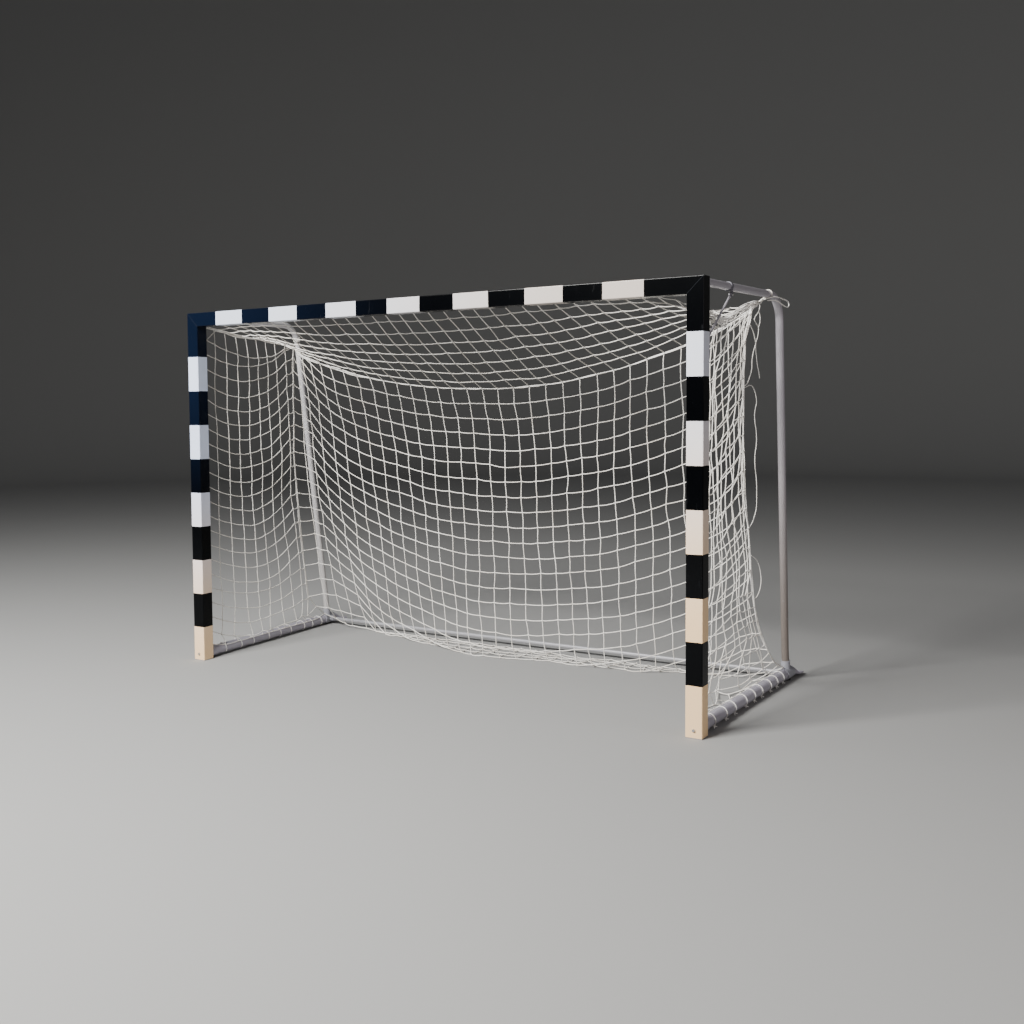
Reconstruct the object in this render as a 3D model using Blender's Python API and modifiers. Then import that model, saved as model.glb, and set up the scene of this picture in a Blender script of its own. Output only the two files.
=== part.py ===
"""Handball goal: striped aluminium mouth frame, net bows, floor frame and a knotted net.

The mouth faces -Y. X runs along the crossbar, Y to the rear and Z up, all in metres.
Pieces are drawn with Y measured from the mouth's front plane, then moved by their location
so that the origin lies on the floor under the middle of the goal.
"""
import math

import bmesh
import bpy
from mathutils import Matrix, Vector

# Mouth frame
OVERALL_WIDTH = 3.160
OVERALL_HEIGHT = 2.080
PROFILE = 0.080
PROFILE_WALL = 0.003
PROFILE_CORNER = 0.004
GROOVE_MOUTH = 0.006
GROOVE_WIDTH = 0.013
GROOVE_DEPTH = 0.009
GROOVE_LIP = 0.0025
JOINT_LEG = 0.12
CAP_PLATE = 0.003
CAP_PLUG = 0.020

# Net bows and their bracing
BOW_RADIUS = 0.019
BOW_WALL = 0.0025
BOW_BEND = 0.14
BOW_TOP_DEPTH = 1.04
BOW_SPLAY = 0.034
SPLAY_START = 0.30
BOW_SIDES_RESOLUTION = 6
ARM_DROP = 0.019
FLANGE_SIZE = 0.060
FLANGE_PLATE = 0.005
FLANGE_SPIGOT = 0.040
FLANGE_SCREW_SPREAD = 0.046
FLANGE_SCREW_HEIGHT = 0.024
CLAMP_DEPTH = 0.385
CLAMP_WIDTH = 0.018
CLAMP_WALL = 0.003
EAR_PLATE = 0.004
EAR_REACH = 0.018
EAR_ROUND = 0.011
STRUT_RADIUS = 0.005
STRUT_FLAT = 0.0035
STRUT_TAB = 0.011
STRUT_DROP = 0.27
STRUT_OFFSET = 0.012
LUG_PLATE = 0.004
LUG_WIDTH = 0.026
LUG_LENGTH = 0.070
LUG_OFFSET = 0.024
LUG_SCREW_RISE = 0.023
LUG_SCREW_TAIL = 0.008

# Floor frame
BASE_DEPTH = 1.31
REAR_WIDENING = 0.050
RAIL_RADIUS = 0.029
RAIL_WALL = 0.003
RAIL_HEIGHT = 0.038
SOCKET_WALL = 0.003
SOCKET_FLOOR = 0.005
SOCKET_DEPTH = 0.045
TEE_WALL = 0.004
TEE_LENGTH = 0.110
TEE_POLE_REACH = 0.072
TEE_TUBE_REACH = 0.062
REAR_RADIUS = 0.013
REAR_WALL = 0.002
TONGUE_START = 0.062
TONGUE_TAPER = 0.075
TONGUE_FLAT = 0.045
TONGUE_THICKNESS = 0.010
TONGUE_WIDTH = 0.080
ANCHOR_HOLE = 0.006
PAD_RADIUS = 0.024
PAD_HEIGHT = 0.0233

# Fasteners
BOLT_RADIUS = 0.004
BOLT_HEAD_RADIUS = 0.0075
BOLT_HEAD = 0.0053
FLANGE_SCREW_LENGTH = 0.022
EAR_BOLT_TAIL = 0.008

# Net, clips and cords
CORD = 0.004
CELLS_ACROSS = 12
CELLS_DEEP = 4
CELLS_HIGH = 8
FOLD_MIDDLE_HEIGHT = 1.615
LEFT_GATHER_DROP = 0.1255
RIGHT_GATHER_DROP = 0.056
LEFT_FOLD_POWER = 2.6
RIGHT_FOLD_POWER = 2.0
GATHER_SETBACK = 0.10
GATHER_INSET = 0.064
LEFT_CORNER_SLACK = 0.19
RIGHT_CORNER_SLACK = 0.38
CORNER_SLACK_POWER = 0.8
CORNER_SLACK_ROOT = 0.5
CORNER_INSET = 0.03
BACK_FULLNESS = 0.8
LEFT_EDGE_HEIGHT = 1.988
RIGHT_EDGE_HEIGHT = 1.95
LEFT_EDGE_SAG = 0.07
RIGHT_EDGE_SAG = 0.05
PANEL_SAG = 0.10
HEM_MIDDLE_DEPTH = 0.95
HEM_HEIGHT = 0.008
HEM_POWER = 1.2
HEM_LIFT_POWER = 8.0
TOP_SAG = 0.06
NET_PLY = 0.0052
BAR_CLIPS_A_SIDE = 3
BAR_CLIP_CELLS = 2
POST_CLIPS = 3
POST_CLIP_CELLS = 3
CLIP_WIDTH = 0.008
CLIP_STEM = 0.0045
CLIP_WALL = 0.0022
CLIP_OPENING = math.radians(70)
LACING_LOOPS = 9
LACING_POINTS = 12
LACING_END = 0.03
TIE_TURNS = 1.5
TIE_PITCH = 0.0065
TIE_SETBACK = 0.155

# Clearances and roundness
GAP = 0.0003
ROUND_SIDES = 24
SMALL_SIDES = 12
CORNER_STEPS = 3
SHARP_ANGLE = math.radians(35)
CUT_BEYOND = 0.03
HALF_CELL = 0.5

# Lines that several pieces share
INSIDE_WIDTH = OVERALL_WIDTH - PROFILE * 2
INSIDE_HEIGHT = OVERALL_HEIGHT - PROFILE
POST_X = (OVERALL_WIDTH - PROFILE) / 2
ARM_HEIGHT = OVERALL_HEIGHT - ARM_DROP
LEAN = Vector((0.0, BASE_DEPTH - BOW_TOP_DEPTH, RAIL_HEIGHT - ARM_HEIGHT)).normalized()
ARM_START = PROFILE + GAP + FLANGE_PLATE + GAP
TONGUE_END = BASE_DEPTH + TONGUE_START + TONGUE_TAPER + TONGUE_FLAT
MIDDLE_DEPTH = (TONGUE_END - BOLT_HEAD - GAP) / 2
CLIP_BORE = CORD / 2 + GAP * 2
CLIP_CENTRE = PROFILE + CLIP_STEM + CLIP_BORE + CLIP_WALL
SIDES = (("left", -1), ("right", 1))


def circumscribed(radius, sides):
    """Vertex radius of a round of so many sides whose flats lie at the given radius."""
    return radius / math.cos(math.pi / sides)


def clear_scene():
    for item in list(bpy.data.objects):
        bpy.data.objects.remove(item, do_unlink=True)


clear_scene()
GOAL = bpy.data.collections.new("handball_goal")
CUTTERS = bpy.data.collections.new("cutters")
CUTTERS.hide_render = True
for group in (GOAL, CUTTERS):
    bpy.context.scene.collection.children.link(group)


def material(name, colour, roughness, metallic):
    made = bpy.data.materials.new(name)
    made.use_nodes = True
    shader = made.node_tree.nodes["Principled BSDF"]
    shader.inputs["Base Color"].default_value = (*colour, 1.0)
    shader.inputs["Roughness"].default_value = roughness
    shader.inputs["Metallic"].default_value = metallic
    made.diffuse_color = (*colour, 1.0)
    return made


def widen(mesh):
    """Spread the frame outward behind the mouth, and the bows a little more toward their top."""
    rate = REAR_WIDENING / POST_X / (BASE_DEPTH - ARM_START)
    splay = BOW_SPLAY / POST_X / (BOW_TOP_DEPTH - ARM_START)
    for vertex in mesh.vertices:
        upper = max(0.0, (vertex.co.z - SPLAY_START) / (ARM_HEIGHT - SPLAY_START))
        vertex.co.x *= 1 + (rate + splay * upper) * max(0.0, vertex.co.y - ARM_START)


def link(name, mesh, finish):
    """Add a finished mesh to the goal as one named sub-part, round where its faces turn little."""
    widen(mesh)
    part = bpy.data.objects.new(name, mesh)
    part.location.y = -MIDDLE_DEPTH
    mesh.name = name
    GOAL.objects.link(part)
    colour, roughness, metallic = finish
    mesh.materials.clear()
    mesh.materials.append(material(name + "_finish", colour, roughness, metallic))
    mesh.shade_smooth()
    mesh.set_sharp_from_angle(angle=SHARP_ANGLE)
    return part


def cutter(mesh, name):
    part = bpy.data.objects.new(name, mesh)
    CUTTERS.objects.link(part)
    part.display_type = "WIRE"
    part.hide_render = True
    return part


def to_mesh(source):
    """Turn a curve or an object with modifiers into a plain mesh and drop the source."""
    bpy.context.scene.collection.objects.link(source)
    bpy.context.view_layer.update()
    graph = bpy.context.evaluated_depsgraph_get()
    mesh = bpy.data.meshes.new_from_object(source.evaluated_get(graph))
    bpy.data.objects.remove(source, do_unlink=True)
    weld(mesh)
    return mesh


def weld(mesh):
    work = bmesh.new()
    work.from_mesh(mesh)
    bmesh.ops.remove_doubles(work, verts=work.verts, dist=1e-6)
    bmesh.ops.recalc_face_normals(work, faces=work.faces)
    work.to_mesh(mesh)
    work.free()


def plate(loops, low, high, turn=Matrix.Identity(4)):
    """Fill the loops of an XY outline, give it thickness from low to high and turn it."""
    data = bpy.data.curves.new("outline", "CURVE")
    data.dimensions = "2D"
    data.fill_mode = "BOTH"
    data.extrude = (high - low) / 2
    for loop in loops:
        spline = data.splines.new("POLY")
        spline.points.add(len(loop) - 1)
        for point, (x, y) in zip(spline.points, loop):
            point.co = (x, y, 0.0, 1.0)
        spline.use_cyclic_u = True
    mesh = to_mesh(bpy.data.objects.new("outline", data))
    mesh.transform(turn @ Matrix.Translation((0, 0, (low + high) / 2)))
    return mesh


def tube(points, radius, resolution, caps=True):
    """Sweep a round section along a path of points."""
    data = bpy.data.curves.new("path", "CURVE")
    data.dimensions = "3D"
    data.bevel_depth = radius
    data.bevel_resolution = resolution
    data.use_fill_caps = caps
    spline = data.splines.new("POLY")
    spline.points.add(len(points) - 1)
    for knot, place in zip(spline.points, points):
        knot.co = (*place, 1.0)
    return to_mesh(bpy.data.objects.new("path", data))


def rod(start, end, radius, sides):
    """Closed cylinder between two points."""
    start, end = Vector(start), Vector(end)
    span = end - start
    work = bmesh.new()
    turn = span.to_track_quat("Z", "Y").to_matrix().to_4x4()
    bmesh.ops.create_cone(
        work, cap_ends=True, segments=sides, radius1=radius, radius2=radius,
        depth=span.length, matrix=Matrix.Translation((start + end) / 2) @ turn)
    mesh = bpy.data.meshes.new("rod")
    work.to_mesh(mesh)
    work.free()
    return mesh


def block(low, high):
    low, high = Vector(low), Vector(high)
    work = bmesh.new()
    size = Matrix.Diagonal((*(high - low), 1.0))
    bmesh.ops.create_cube(work, size=1.0, matrix=Matrix.Translation((low + high) / 2) @ size)
    mesh = bpy.data.meshes.new("block")
    work.to_mesh(mesh)
    work.free()
    return mesh


def combine(base, others, operation):
    """Join or cut meshes with exact booleans and return the result as a mesh."""
    target = bpy.data.objects.new("base", base)
    for number, other in enumerate(others):
        tool = cutter(other, "tool")
        step = target.modifiers.new("step_%d" % number, "BOOLEAN")
        step.solver = "EXACT"
        step.operation = operation
        step.object = tool
    mesh = to_mesh(target)
    for tool in list(CUTTERS.objects):
        bpy.data.objects.remove(tool, do_unlink=True)
    return mesh


def thicken(mesh, wall):
    """Give an open tube surface its wall, inward from the skin."""
    shell = bpy.data.objects.new("shell", mesh)
    wall_step = shell.modifiers.new("wall", "SOLIDIFY")
    wall_step.thickness = wall
    wall_step.offset = -1.0
    wall_step.use_even_offset = True
    return to_mesh(shell)


def arc(centre, radius, start, end, steps):
    for step in range(steps + 1):
        angle = start + (end - start) * step / steps
        yield (centre[0] + radius * math.cos(angle), centre[1] + radius * math.sin(angle))


def rounded_square(half, corner, notch=()):
    """Square outline with round corners and an optional notch in its +Y side."""
    points = []
    inner = half - corner
    quarter = math.pi / 2
    for number, (sx, sy) in enumerate(((1, -1), (1, 1), (-1, 1), (-1, -1))):
        start = quarter * (number - 1)
        points += arc((sx * inner, sy * inner), corner, start, start + quarter, CORNER_STEPS)
        if number == 1:
            points += notch
    return points


def profile_loops():
    """Section of the 80 mm extrusion, with the net groove in its rear side."""
    half = PROFILE / 2
    mouth, width = GROOVE_MOUTH / 2, GROOVE_WIDTH / 2
    lip, floor = half - GROOVE_LIP, half - GROOVE_DEPTH
    notch = [(mouth, half), (mouth, lip), (width, lip), (width, floor),
             (-width, floor), (-width, lip), (-mouth, lip), (-mouth, half)]
    cavity = half - PROFILE_WALL
    back = floor - PROFILE_WALL
    shoulder = width + PROFILE_WALL
    hollow = [(cavity, -cavity), (cavity, cavity), (shoulder, cavity), (shoulder, back),
              (-shoulder, back), (-shoulder, cavity), (-cavity, cavity), (-cavity, -cavity)]
    return [rounded_square(half, PROFILE_CORNER, notch), hollow]


def bolt(name, seat, direction, length, radius=BOLT_RADIUS):
    """Hex bolt whose head bears on the seat and whose shank points along the direction."""
    head = rod(seat - direction * (GAP + BOLT_HEAD), seat - direction * GAP, BOLT_HEAD_RADIUS, 6)
    shank = rod(seat - direction * (GAP + BOLT_HEAD / 2), seat + direction * length, radius,
                SMALL_SIDES)
    link(name, combine(head, [shank], "UNION"), STEEL)


def bolt_hole(seat, direction, length, radius=BOLT_RADIUS):
    bore = circumscribed(radius + GAP, SMALL_SIDES)
    return rod(seat - direction * BOLT_HEAD, seat + direction * (length + GAP), bore, SMALL_SIDES)


PAINT = ((0.020, 0.022, 0.030), 0.35, 0.0)
GREY = ((0.55, 0.56, 0.58), 0.40, 0.85)
RAIL_GREY = ((0.42, 0.40, 0.45), 0.45, 0.6)
STEEL = ((0.45, 0.45, 0.47), 0.35, 0.9)
CASTING = ((0.50, 0.50, 0.52), 0.50, 0.7)
PLASTIC = ((0.80, 0.79, 0.76), 0.50, 0.0)
CAP_PLASTIC = ((0.60, 0.60, 0.62), 0.55, 0.0)
RUBBER = ((0.03, 0.03, 0.03), 0.85, 0.0)
NET_CORD = ((0.85, 0.78, 0.66), 0.85, 0.0)


def foot_bolt_place(side):
    seat = Vector((side * POST_X, 0.0, RAIL_HEIGHT))
    length = PROFILE + GAP + SOCKET_FLOOR + EAR_BOLT_TAIL
    return seat, Vector((0, 1, 0)), length


def flange_screw_places(side):
    """The two screws that fasten the flange across the mitre."""
    for end in (-1.0, 1.0):
        x = side * POST_X + end * FLANGE_SCREW_SPREAD / 2
        seat = Vector((x, PROFILE + GAP + FLANGE_PLATE, INSIDE_HEIGHT + FLANGE_SCREW_HEIGHT))
        yield seat, Vector((0, -1, 0)), FLANGE_SCREW_LENGTH


def lug_height():
    return ARM_HEIGHT - STRUT_DROP


def lug_screw_place(side):
    x = side * (POST_X + LUG_OFFSET)
    seat = Vector((x, PROFILE + GAP + LUG_PLATE, lug_height() + LUG_SCREW_RISE))
    return seat, Vector((0, -1, 0)), LUG_PLATE + GAP + PROFILE_WALL + LUG_SCREW_TAIL


def strut_ends(side):
    """Bolt centres at the clamp ear and at the lug ear, in the plane of the strut tabs."""
    x = side * (POST_X + STRUT_OFFSET)
    upper = Vector((x, CLAMP_DEPTH, ARM_HEIGHT - BOW_RADIUS - EAR_REACH))
    lower = Vector((x, PROFILE + LUG_PLATE + EAR_REACH, lug_height()))
    return upper, lower


def mitre_post(mesh, side):
    """Move the ends of a standing extrusion to the floor cap and to the 45 degree mitre."""
    slant = GAP * math.sqrt(2) / 2
    for vertex in mesh.vertices:
        if vertex.co.z > INSIDE_HEIGHT / 2:
            out = side * vertex.co.x - INSIDE_WIDTH / 2
            vertex.co.z = INSIDE_HEIGHT + out - slant
        else:
            vertex.co.z = CAP_PLATE + GAP


def mitre_crossbar(mesh):
    slant = GAP * math.sqrt(2) / 2
    for vertex in mesh.vertices:
        reach = INSIDE_WIDTH / 2 + vertex.co.z - INSIDE_HEIGHT - slant
        vertex.co.x = math.copysign(reach, vertex.co.x)


def mouth_frame():
    """Two posts and the crossbar, mitred at the corners and drilled for their bolts."""
    half = PROFILE / 2
    for word, side in SIDES:
        place = Matrix.Translation((side * POST_X, half, 0))
        post = plate(profile_loops(), 0.0, INSIDE_HEIGHT, place)
        mitre_post(post, side)
        screws = list(flange_screw_places(side))
        outer = screws[1] if side > 0 else screws[0]
        places = (foot_bolt_place(side), lug_screw_place(side), outer)
        holes = [bolt_hole(*place) for place in places]
        link(word + "_post", combine(post, holes, "DIFFERENCE"), PAINT)
    lay = Matrix.Translation((0, half, INSIDE_HEIGHT + half)) @ Matrix.Rotation(math.pi / 2, 4, "Y")
    bar = plate(profile_loops(), -INSIDE_WIDTH / 2, INSIDE_WIDTH / 2, lay)
    mitre_crossbar(bar)
    holes = []
    for word, side in SIDES:
        screws = list(flange_screw_places(side))
        holes.append(bolt_hole(*(screws[0] if side > 0 else screws[1])))
    link("crossbar", combine(bar, holes, "DIFFERENCE"), PAINT)


def corner_joint(word, side):
    """Cast angle inside each mitred corner, tapped for the flange screws."""
    inner = INSIDE_WIDTH / 2 + PROFILE_WALL + GAP
    outer = INSIDE_WIDTH / 2 + PROFILE - PROFILE_WALL - GAP
    low = INSIDE_HEIGHT + PROFILE_WALL + GAP
    high = OVERALL_HEIGHT - PROFILE_WALL - GAP
    tip = INSIDE_WIDTH / 2 - JOINT_LEG
    end = INSIDE_HEIGHT - JOINT_LEG
    loop = [(outer, end), (outer, high), (tip, high), (tip, low), (inner, low), (inner, end)]
    loop = [(side * x, -z) for x, z in loop]
    front = PROFILE_WALL + GAP
    back = PROFILE - GROOVE_DEPTH - PROFILE_WALL - GAP
    mesh = plate([loop], front, back, Matrix.Rotation(-math.pi / 2, 4, "X"))
    holes = [bolt_hole(*place) for place in flange_screw_places(side)]
    link(word + "_corner_joint", combine(mesh, holes, "DIFFERENCE"), CASTING)


def foot_cap(word, side):
    """Plastic end cap under the post: a plate with a plug that fills the hollow."""
    place = Matrix.Translation((side * POST_X, PROFILE / 2, 0))
    base = plate([rounded_square(PROFILE / 2, PROFILE_CORNER)], 0.0, CAP_PLATE, place)
    cavity = PROFILE / 2 - PROFILE_WALL - GAP
    back = PROFILE / 2 - GROOVE_DEPTH - PROFILE_WALL - GAP
    plug_loop = [(cavity, -cavity), (cavity, back), (-cavity, back), (-cavity, -cavity)]
    plug = plate([plug_loop], CAP_PLATE / 2, CAP_PLATE + CAP_PLUG, place)
    link(word + "_foot_cap", combine(base, [plug], "UNION"), CAP_PLASTIC)


def bow_path(side):
    """Centre line of the bow: level arm, bend, and the pole that leans back to the floor."""
    corner = Vector((side * POST_X, BOW_TOP_DEPTH, ARM_HEIGHT))
    turn = math.acos(LEAN.y)
    tangent = BOW_BEND * math.tan(turn / 2)
    begin = corner - Vector((0, tangent, 0))
    centre = begin - Vector((0, 0, BOW_BEND))
    points = [Vector((side * POST_X, ARM_START, ARM_HEIGHT))]
    steps = 8
    for step in range(steps + 1):
        angle = turn * step / steps
        points.append(centre + BOW_BEND * Vector((0, math.sin(angle), math.cos(angle))))
    points.append(pole_point(side, TEE_POLE_REACH * 2))
    points.append(pole_point(side, RAIL_RADIUS + TEE_WALL * 2 + GAP * 2))
    return points


def pole_point(side, distance):
    """Point on the pole's axis, measured up from the floor rail's axis."""
    return Vector((side * POST_X, BASE_DEPTH, RAIL_HEIGHT)) - LEAN * distance


def net_bow(word, side):
    skin = tube(bow_path(side), BOW_RADIUS, BOW_SIDES_RESOLUTION, caps=False)
    link(word + "_net_bow", thicken(skin, BOW_WALL), GREY)


def arm_flange(word, side):
    """Flange plate across the mitre, with the spigot that carries the bow."""
    x = side * POST_X
    top = OVERALL_HEIGHT - ARM_DROP + BOW_RADIUS
    low = (x - FLANGE_SIZE / 2, PROFILE + GAP, top - FLANGE_SIZE)
    high = (x + FLANGE_SIZE / 2, PROFILE + GAP + FLANGE_PLATE, top)
    bore = (BOW_RADIUS - BOW_WALL) * math.cos(math.pi / (4 + 2 * BOW_SIDES_RESOLUTION))
    start = Vector((x, PROFILE + GAP + FLANGE_PLATE / 2, ARM_HEIGHT))
    end = Vector((x, ARM_START + FLANGE_SPIGOT, ARM_HEIGHT))
    mesh = combine(block(low, high), [rod(start, end, bore - GAP, SMALL_SIDES)], "UNION")
    holes = [bolt_hole(*place) for place in flange_screw_places(side)]
    link(word + "_arm_flange", combine(mesh, holes, "DIFFERENCE"), GREY)
    for name, place in zip(("a", "b"), flange_screw_places(side)):
        bolt(word + "_flange_screw_" + name, *place)


def ear(side, centre, back):
    """Flat ear in the strut's plane, round about its bolt, from the bolt to its carrier."""
    tab = STRUT_FLAT / 2 + GAP
    low = centre.x + side * tab
    high = low + side * EAR_PLATE
    ends = sorted((low, high))
    round_end = rod((ends[0], centre.y, centre.z), (ends[1], centre.y, centre.z), EAR_ROUND,
                    SMALL_SIDES * 2)
    low_corner = [ends[0], min(centre.y, back.y), min(centre.z, back.z)]
    high_corner = [ends[1], max(centre.y, back.y), max(centre.z, back.z)]
    axis = 1 if abs(centre.y - back.y) < abs(centre.z - back.z) else 2
    low_corner[axis] = centre[axis] - EAR_ROUND
    high_corner[axis] = centre[axis] + EAR_ROUND
    return combine(round_end, [block(low_corner, high_corner)], "UNION")


def ear_bolt_place(side, centre):
    """The bolt comes from the ear's outer side, through the ear and the strut's tab."""
    seat = centre + Vector((side * (STRUT_FLAT / 2 + GAP + EAR_PLATE), 0, 0))
    return seat, Vector((-side, 0, 0)), EAR_PLATE + GAP + STRUT_FLAT + EAR_BOLT_TAIL


def strut_clamp(word, side):
    """Band round the arm with an ear below it for the strut."""
    upper, lower = strut_ends(side)
    sides = ROUND_SIDES
    bore = circumscribed(BOW_RADIUS + GAP, sides)
    start = Vector((side * POST_X, CLAMP_DEPTH - CLAMP_WIDTH / 2, ARM_HEIGHT))
    end = start + Vector((0, CLAMP_WIDTH, 0))
    band = rod(start, end, bore + CLAMP_WALL, sides)
    back = Vector((upper.x, upper.y, ARM_HEIGHT))
    mesh = combine(band, [ear(side, upper, back)], "UNION")
    reach = Vector((0, CLAMP_WIDTH, 0))
    holes = [rod(start - reach, end + reach, bore, sides),
             bolt_hole(*ear_bolt_place(side, upper))]
    link(word + "_strut_clamp", combine(mesh, holes, "DIFFERENCE"), GREY)
    bolt(word + "_strut_bolt_upper", *ear_bolt_place(side, upper))


def strut_lug(word, side):
    """Lug screwed to the post beside its net groove, with the ear for the strut's foot."""
    upper, lower = strut_ends(side)
    x = side * (POST_X + LUG_OFFSET)
    low = (x - LUG_WIDTH / 2, PROFILE + GAP, lug_height() - LUG_LENGTH / 2)
    high = (x + LUG_WIDTH / 2, PROFILE + GAP + LUG_PLATE, lug_height() + LUG_LENGTH / 2)
    back = Vector((lower.x, PROFILE + GAP + LUG_PLATE / 2, lower.z))
    mesh = combine(block(low, high), [ear(side, lower, back)], "UNION")
    holes = [bolt_hole(*lug_screw_place(side)), bolt_hole(*ear_bolt_place(side, lower))]
    link(word + "_strut_lug", combine(mesh, holes, "DIFFERENCE"), GREY)
    bolt(word + "_lug_screw", *lug_screw_place(side))
    bolt(word + "_strut_bolt_lower", *ear_bolt_place(side, lower))


def loft(rings):
    """Skin a row of rings of equal count, left open at both ends."""
    work = bmesh.new()
    rows = [[work.verts.new(place) for place in ring] for ring in rings]
    for near, far in zip(rows, rows[1:]):
        count = len(near)
        for number in range(count):
            other = (number + 1) % count
            work.faces.new((near[number], near[other], far[other], far[number]))
    bmesh.ops.recalc_face_normals(work, faces=work.faces)
    mesh = bpy.data.meshes.new("loft")
    work.to_mesh(mesh)
    work.free()
    return mesh


def close_ends(mesh):
    work = bmesh.new()
    work.from_mesh(mesh)
    bmesh.ops.holes_fill(work, edges=work.edges, sides=0)
    bmesh.ops.recalc_face_normals(work, faces=work.faces)
    work.to_mesh(mesh)
    work.free()
    return mesh


def strut(word, side):
    """Round brace with both ends flattened into tabs and drilled."""
    upper, lower = strut_ends(side)
    along = (upper - lower).normalized()
    across = Vector((1, 0, 0))
    up = across.cross(along)
    length = (upper - lower).length
    flat, half = STRUT_FLAT / 2, STRUT_TAB
    stations = [(-STRUT_TAB, flat, half * 0.5), (-STRUT_TAB * 0.6, flat, half),
                (STRUT_TAB * 1.2, flat, half), (STRUT_TAB * 3, STRUT_RADIUS, STRUT_RADIUS)]
    stations += [(length - place, wide, high) for place, wide, high in reversed(stations)]
    rings = []
    for place, wide, high in stations:
        centre = lower + along * place
        ring = []
        for number in range(ROUND_SIDES // 2):
            angle = 2 * math.pi * (number + 0.5) / (ROUND_SIDES // 2)
            ring.append(centre + across * wide * math.cos(angle) + up * high * math.sin(angle))
        rings.append(ring)
    holes = [bolt_hole(*ear_bolt_place(side, end)) for end in (upper, lower)]
    mesh = combine(close_ends(loft(rings)), holes, "DIFFERENCE")
    link(word + "_strut", mesh, GREY)


def rail_socket(word, side):
    """Sleeve behind the post's foot that takes the floor rail, bolted through the post."""
    start = Vector((side * POST_X, PROFILE + GAP, RAIL_HEIGHT))
    end = start + Vector((0, SOCKET_FLOOR + SOCKET_DEPTH, 0))
    bore = circumscribed(RAIL_RADIUS + GAP, ROUND_SIDES)
    sleeve = rod(start, end, bore + SOCKET_WALL, ROUND_SIDES)
    holes = [rod(start + Vector((0, SOCKET_FLOOR, 0)), end + Vector((0, SOCKET_DEPTH, 0)), bore,
                 ROUND_SIDES), bolt_hole(*foot_bolt_place(side))]
    link(word + "_rail_socket", combine(sleeve, holes, "DIFFERENCE"), RAIL_GREY)
    bolt(word + "_foot_bolt", *foot_bolt_place(side))


def floor_rail(word, side):
    """Side rail of the floor frame. Its rear end is pressed flat into an anchor tongue."""
    x = side * POST_X
    floor = RAIL_HEIGHT - RAIL_RADIUS
    start = PROFILE + GAP + SOCKET_FLOOR + GAP
    taper = BASE_DEPTH + TONGUE_START
    steps = 4
    stations = [(start, 0.0), (taper, 0.0)]
    for step in range(1, steps + 1):
        share = step / steps
        stations.append((taper + TONGUE_TAPER * share, share * share * (3 - 2 * share)))
    stations.append((TONGUE_END, 1.0))
    rings = []
    for depth, press in stations:
        ring = []
        high = RAIL_RADIUS + (TONGUE_THICKNESS / 2 - RAIL_RADIUS) * press
        wide = RAIL_RADIUS + (TONGUE_WIDTH / 2 - RAIL_RADIUS) * press
        power = 1.0 - 0.55 * press
        for number in range(ROUND_SIDES):
            angle = 2 * math.pi * (number + 0.5) / ROUND_SIDES
            cosine, sine = math.cos(angle), math.sin(angle)
            out = math.copysign(abs(cosine) ** power, cosine)
            rise = math.copysign(abs(sine) ** power, sine)
            ring.append((x + wide * out, depth, floor + high * (1 + rise)))
        rings.append(ring)
    shell = thicken(loft(rings), RAIL_WALL)
    hole_depth = TONGUE_END - TONGUE_FLAT / 2
    hole = rod((x, hole_depth, 0), (x, hole_depth, RAIL_HEIGHT), ANCHOR_HOLE, SMALL_SIDES)
    link(word + "_floor_rail", combine(shell, [hole], "DIFFERENCE"), RAIL_GREY)


def corner_tee(word, side):
    """Three-way fitting that joins the floor rail, the pole and the rear tube."""
    centre = Vector((side * POST_X, BASE_DEPTH, RAIL_HEIGHT))
    rail = Vector((0, TEE_LENGTH / 2, 0))
    inward = Vector((-side, 0, 0))
    rail_bore = circumscribed(RAIL_RADIUS + GAP, ROUND_SIDES)
    pole_bore = circumscribed(BOW_RADIUS + GAP, ROUND_SIDES)
    tube_bore = circumscribed(REAR_RADIUS + GAP, ROUND_SIDES)
    pole_end = pole_point(side, TEE_POLE_REACH)
    tube_end = centre + inward * TEE_TUBE_REACH
    bodies = [rod(centre, pole_end, pole_bore + TEE_WALL, ROUND_SIDES),
              rod(centre, tube_end, tube_bore + TEE_WALL, ROUND_SIDES)]
    sleeve = rod(centre - rail, centre + rail, rail_bore + TEE_WALL, ROUND_SIDES)
    mesh = combine(sleeve, bodies, "UNION")
    web = RAIL_RADIUS + TEE_WALL * 2
    through = rail + Vector((0, CUT_BEYOND, 0))
    pole_cut = pole_point(side, TEE_POLE_REACH + CUT_BEYOND)
    tube_cut = centre + inward * (TEE_TUBE_REACH + CUT_BEYOND)
    holes = [rod(centre - through, centre + through, rail_bore, ROUND_SIDES),
             rod(pole_point(side, web), pole_cut, pole_bore, ROUND_SIDES),
             rod(centre + inward * web, tube_cut, tube_bore, ROUND_SIDES)]
    link(word + "_corner_tee", combine(mesh, holes, "DIFFERENCE"), RAIL_GREY)


def rear_tube():
    """Thin tube across the back of the floor frame."""
    reach = POST_X - RAIL_RADIUS - TEE_WALL * 2 - GAP * 4
    ends = [Vector((x, BASE_DEPTH, RAIL_HEIGHT)) for x in (-reach, reach)]
    skin = tube(ends, REAR_RADIUS, BOW_SIDES_RESOLUTION, caps=False)
    link("rear_tube", thicken(skin, REAR_WALL), GREY)


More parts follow.
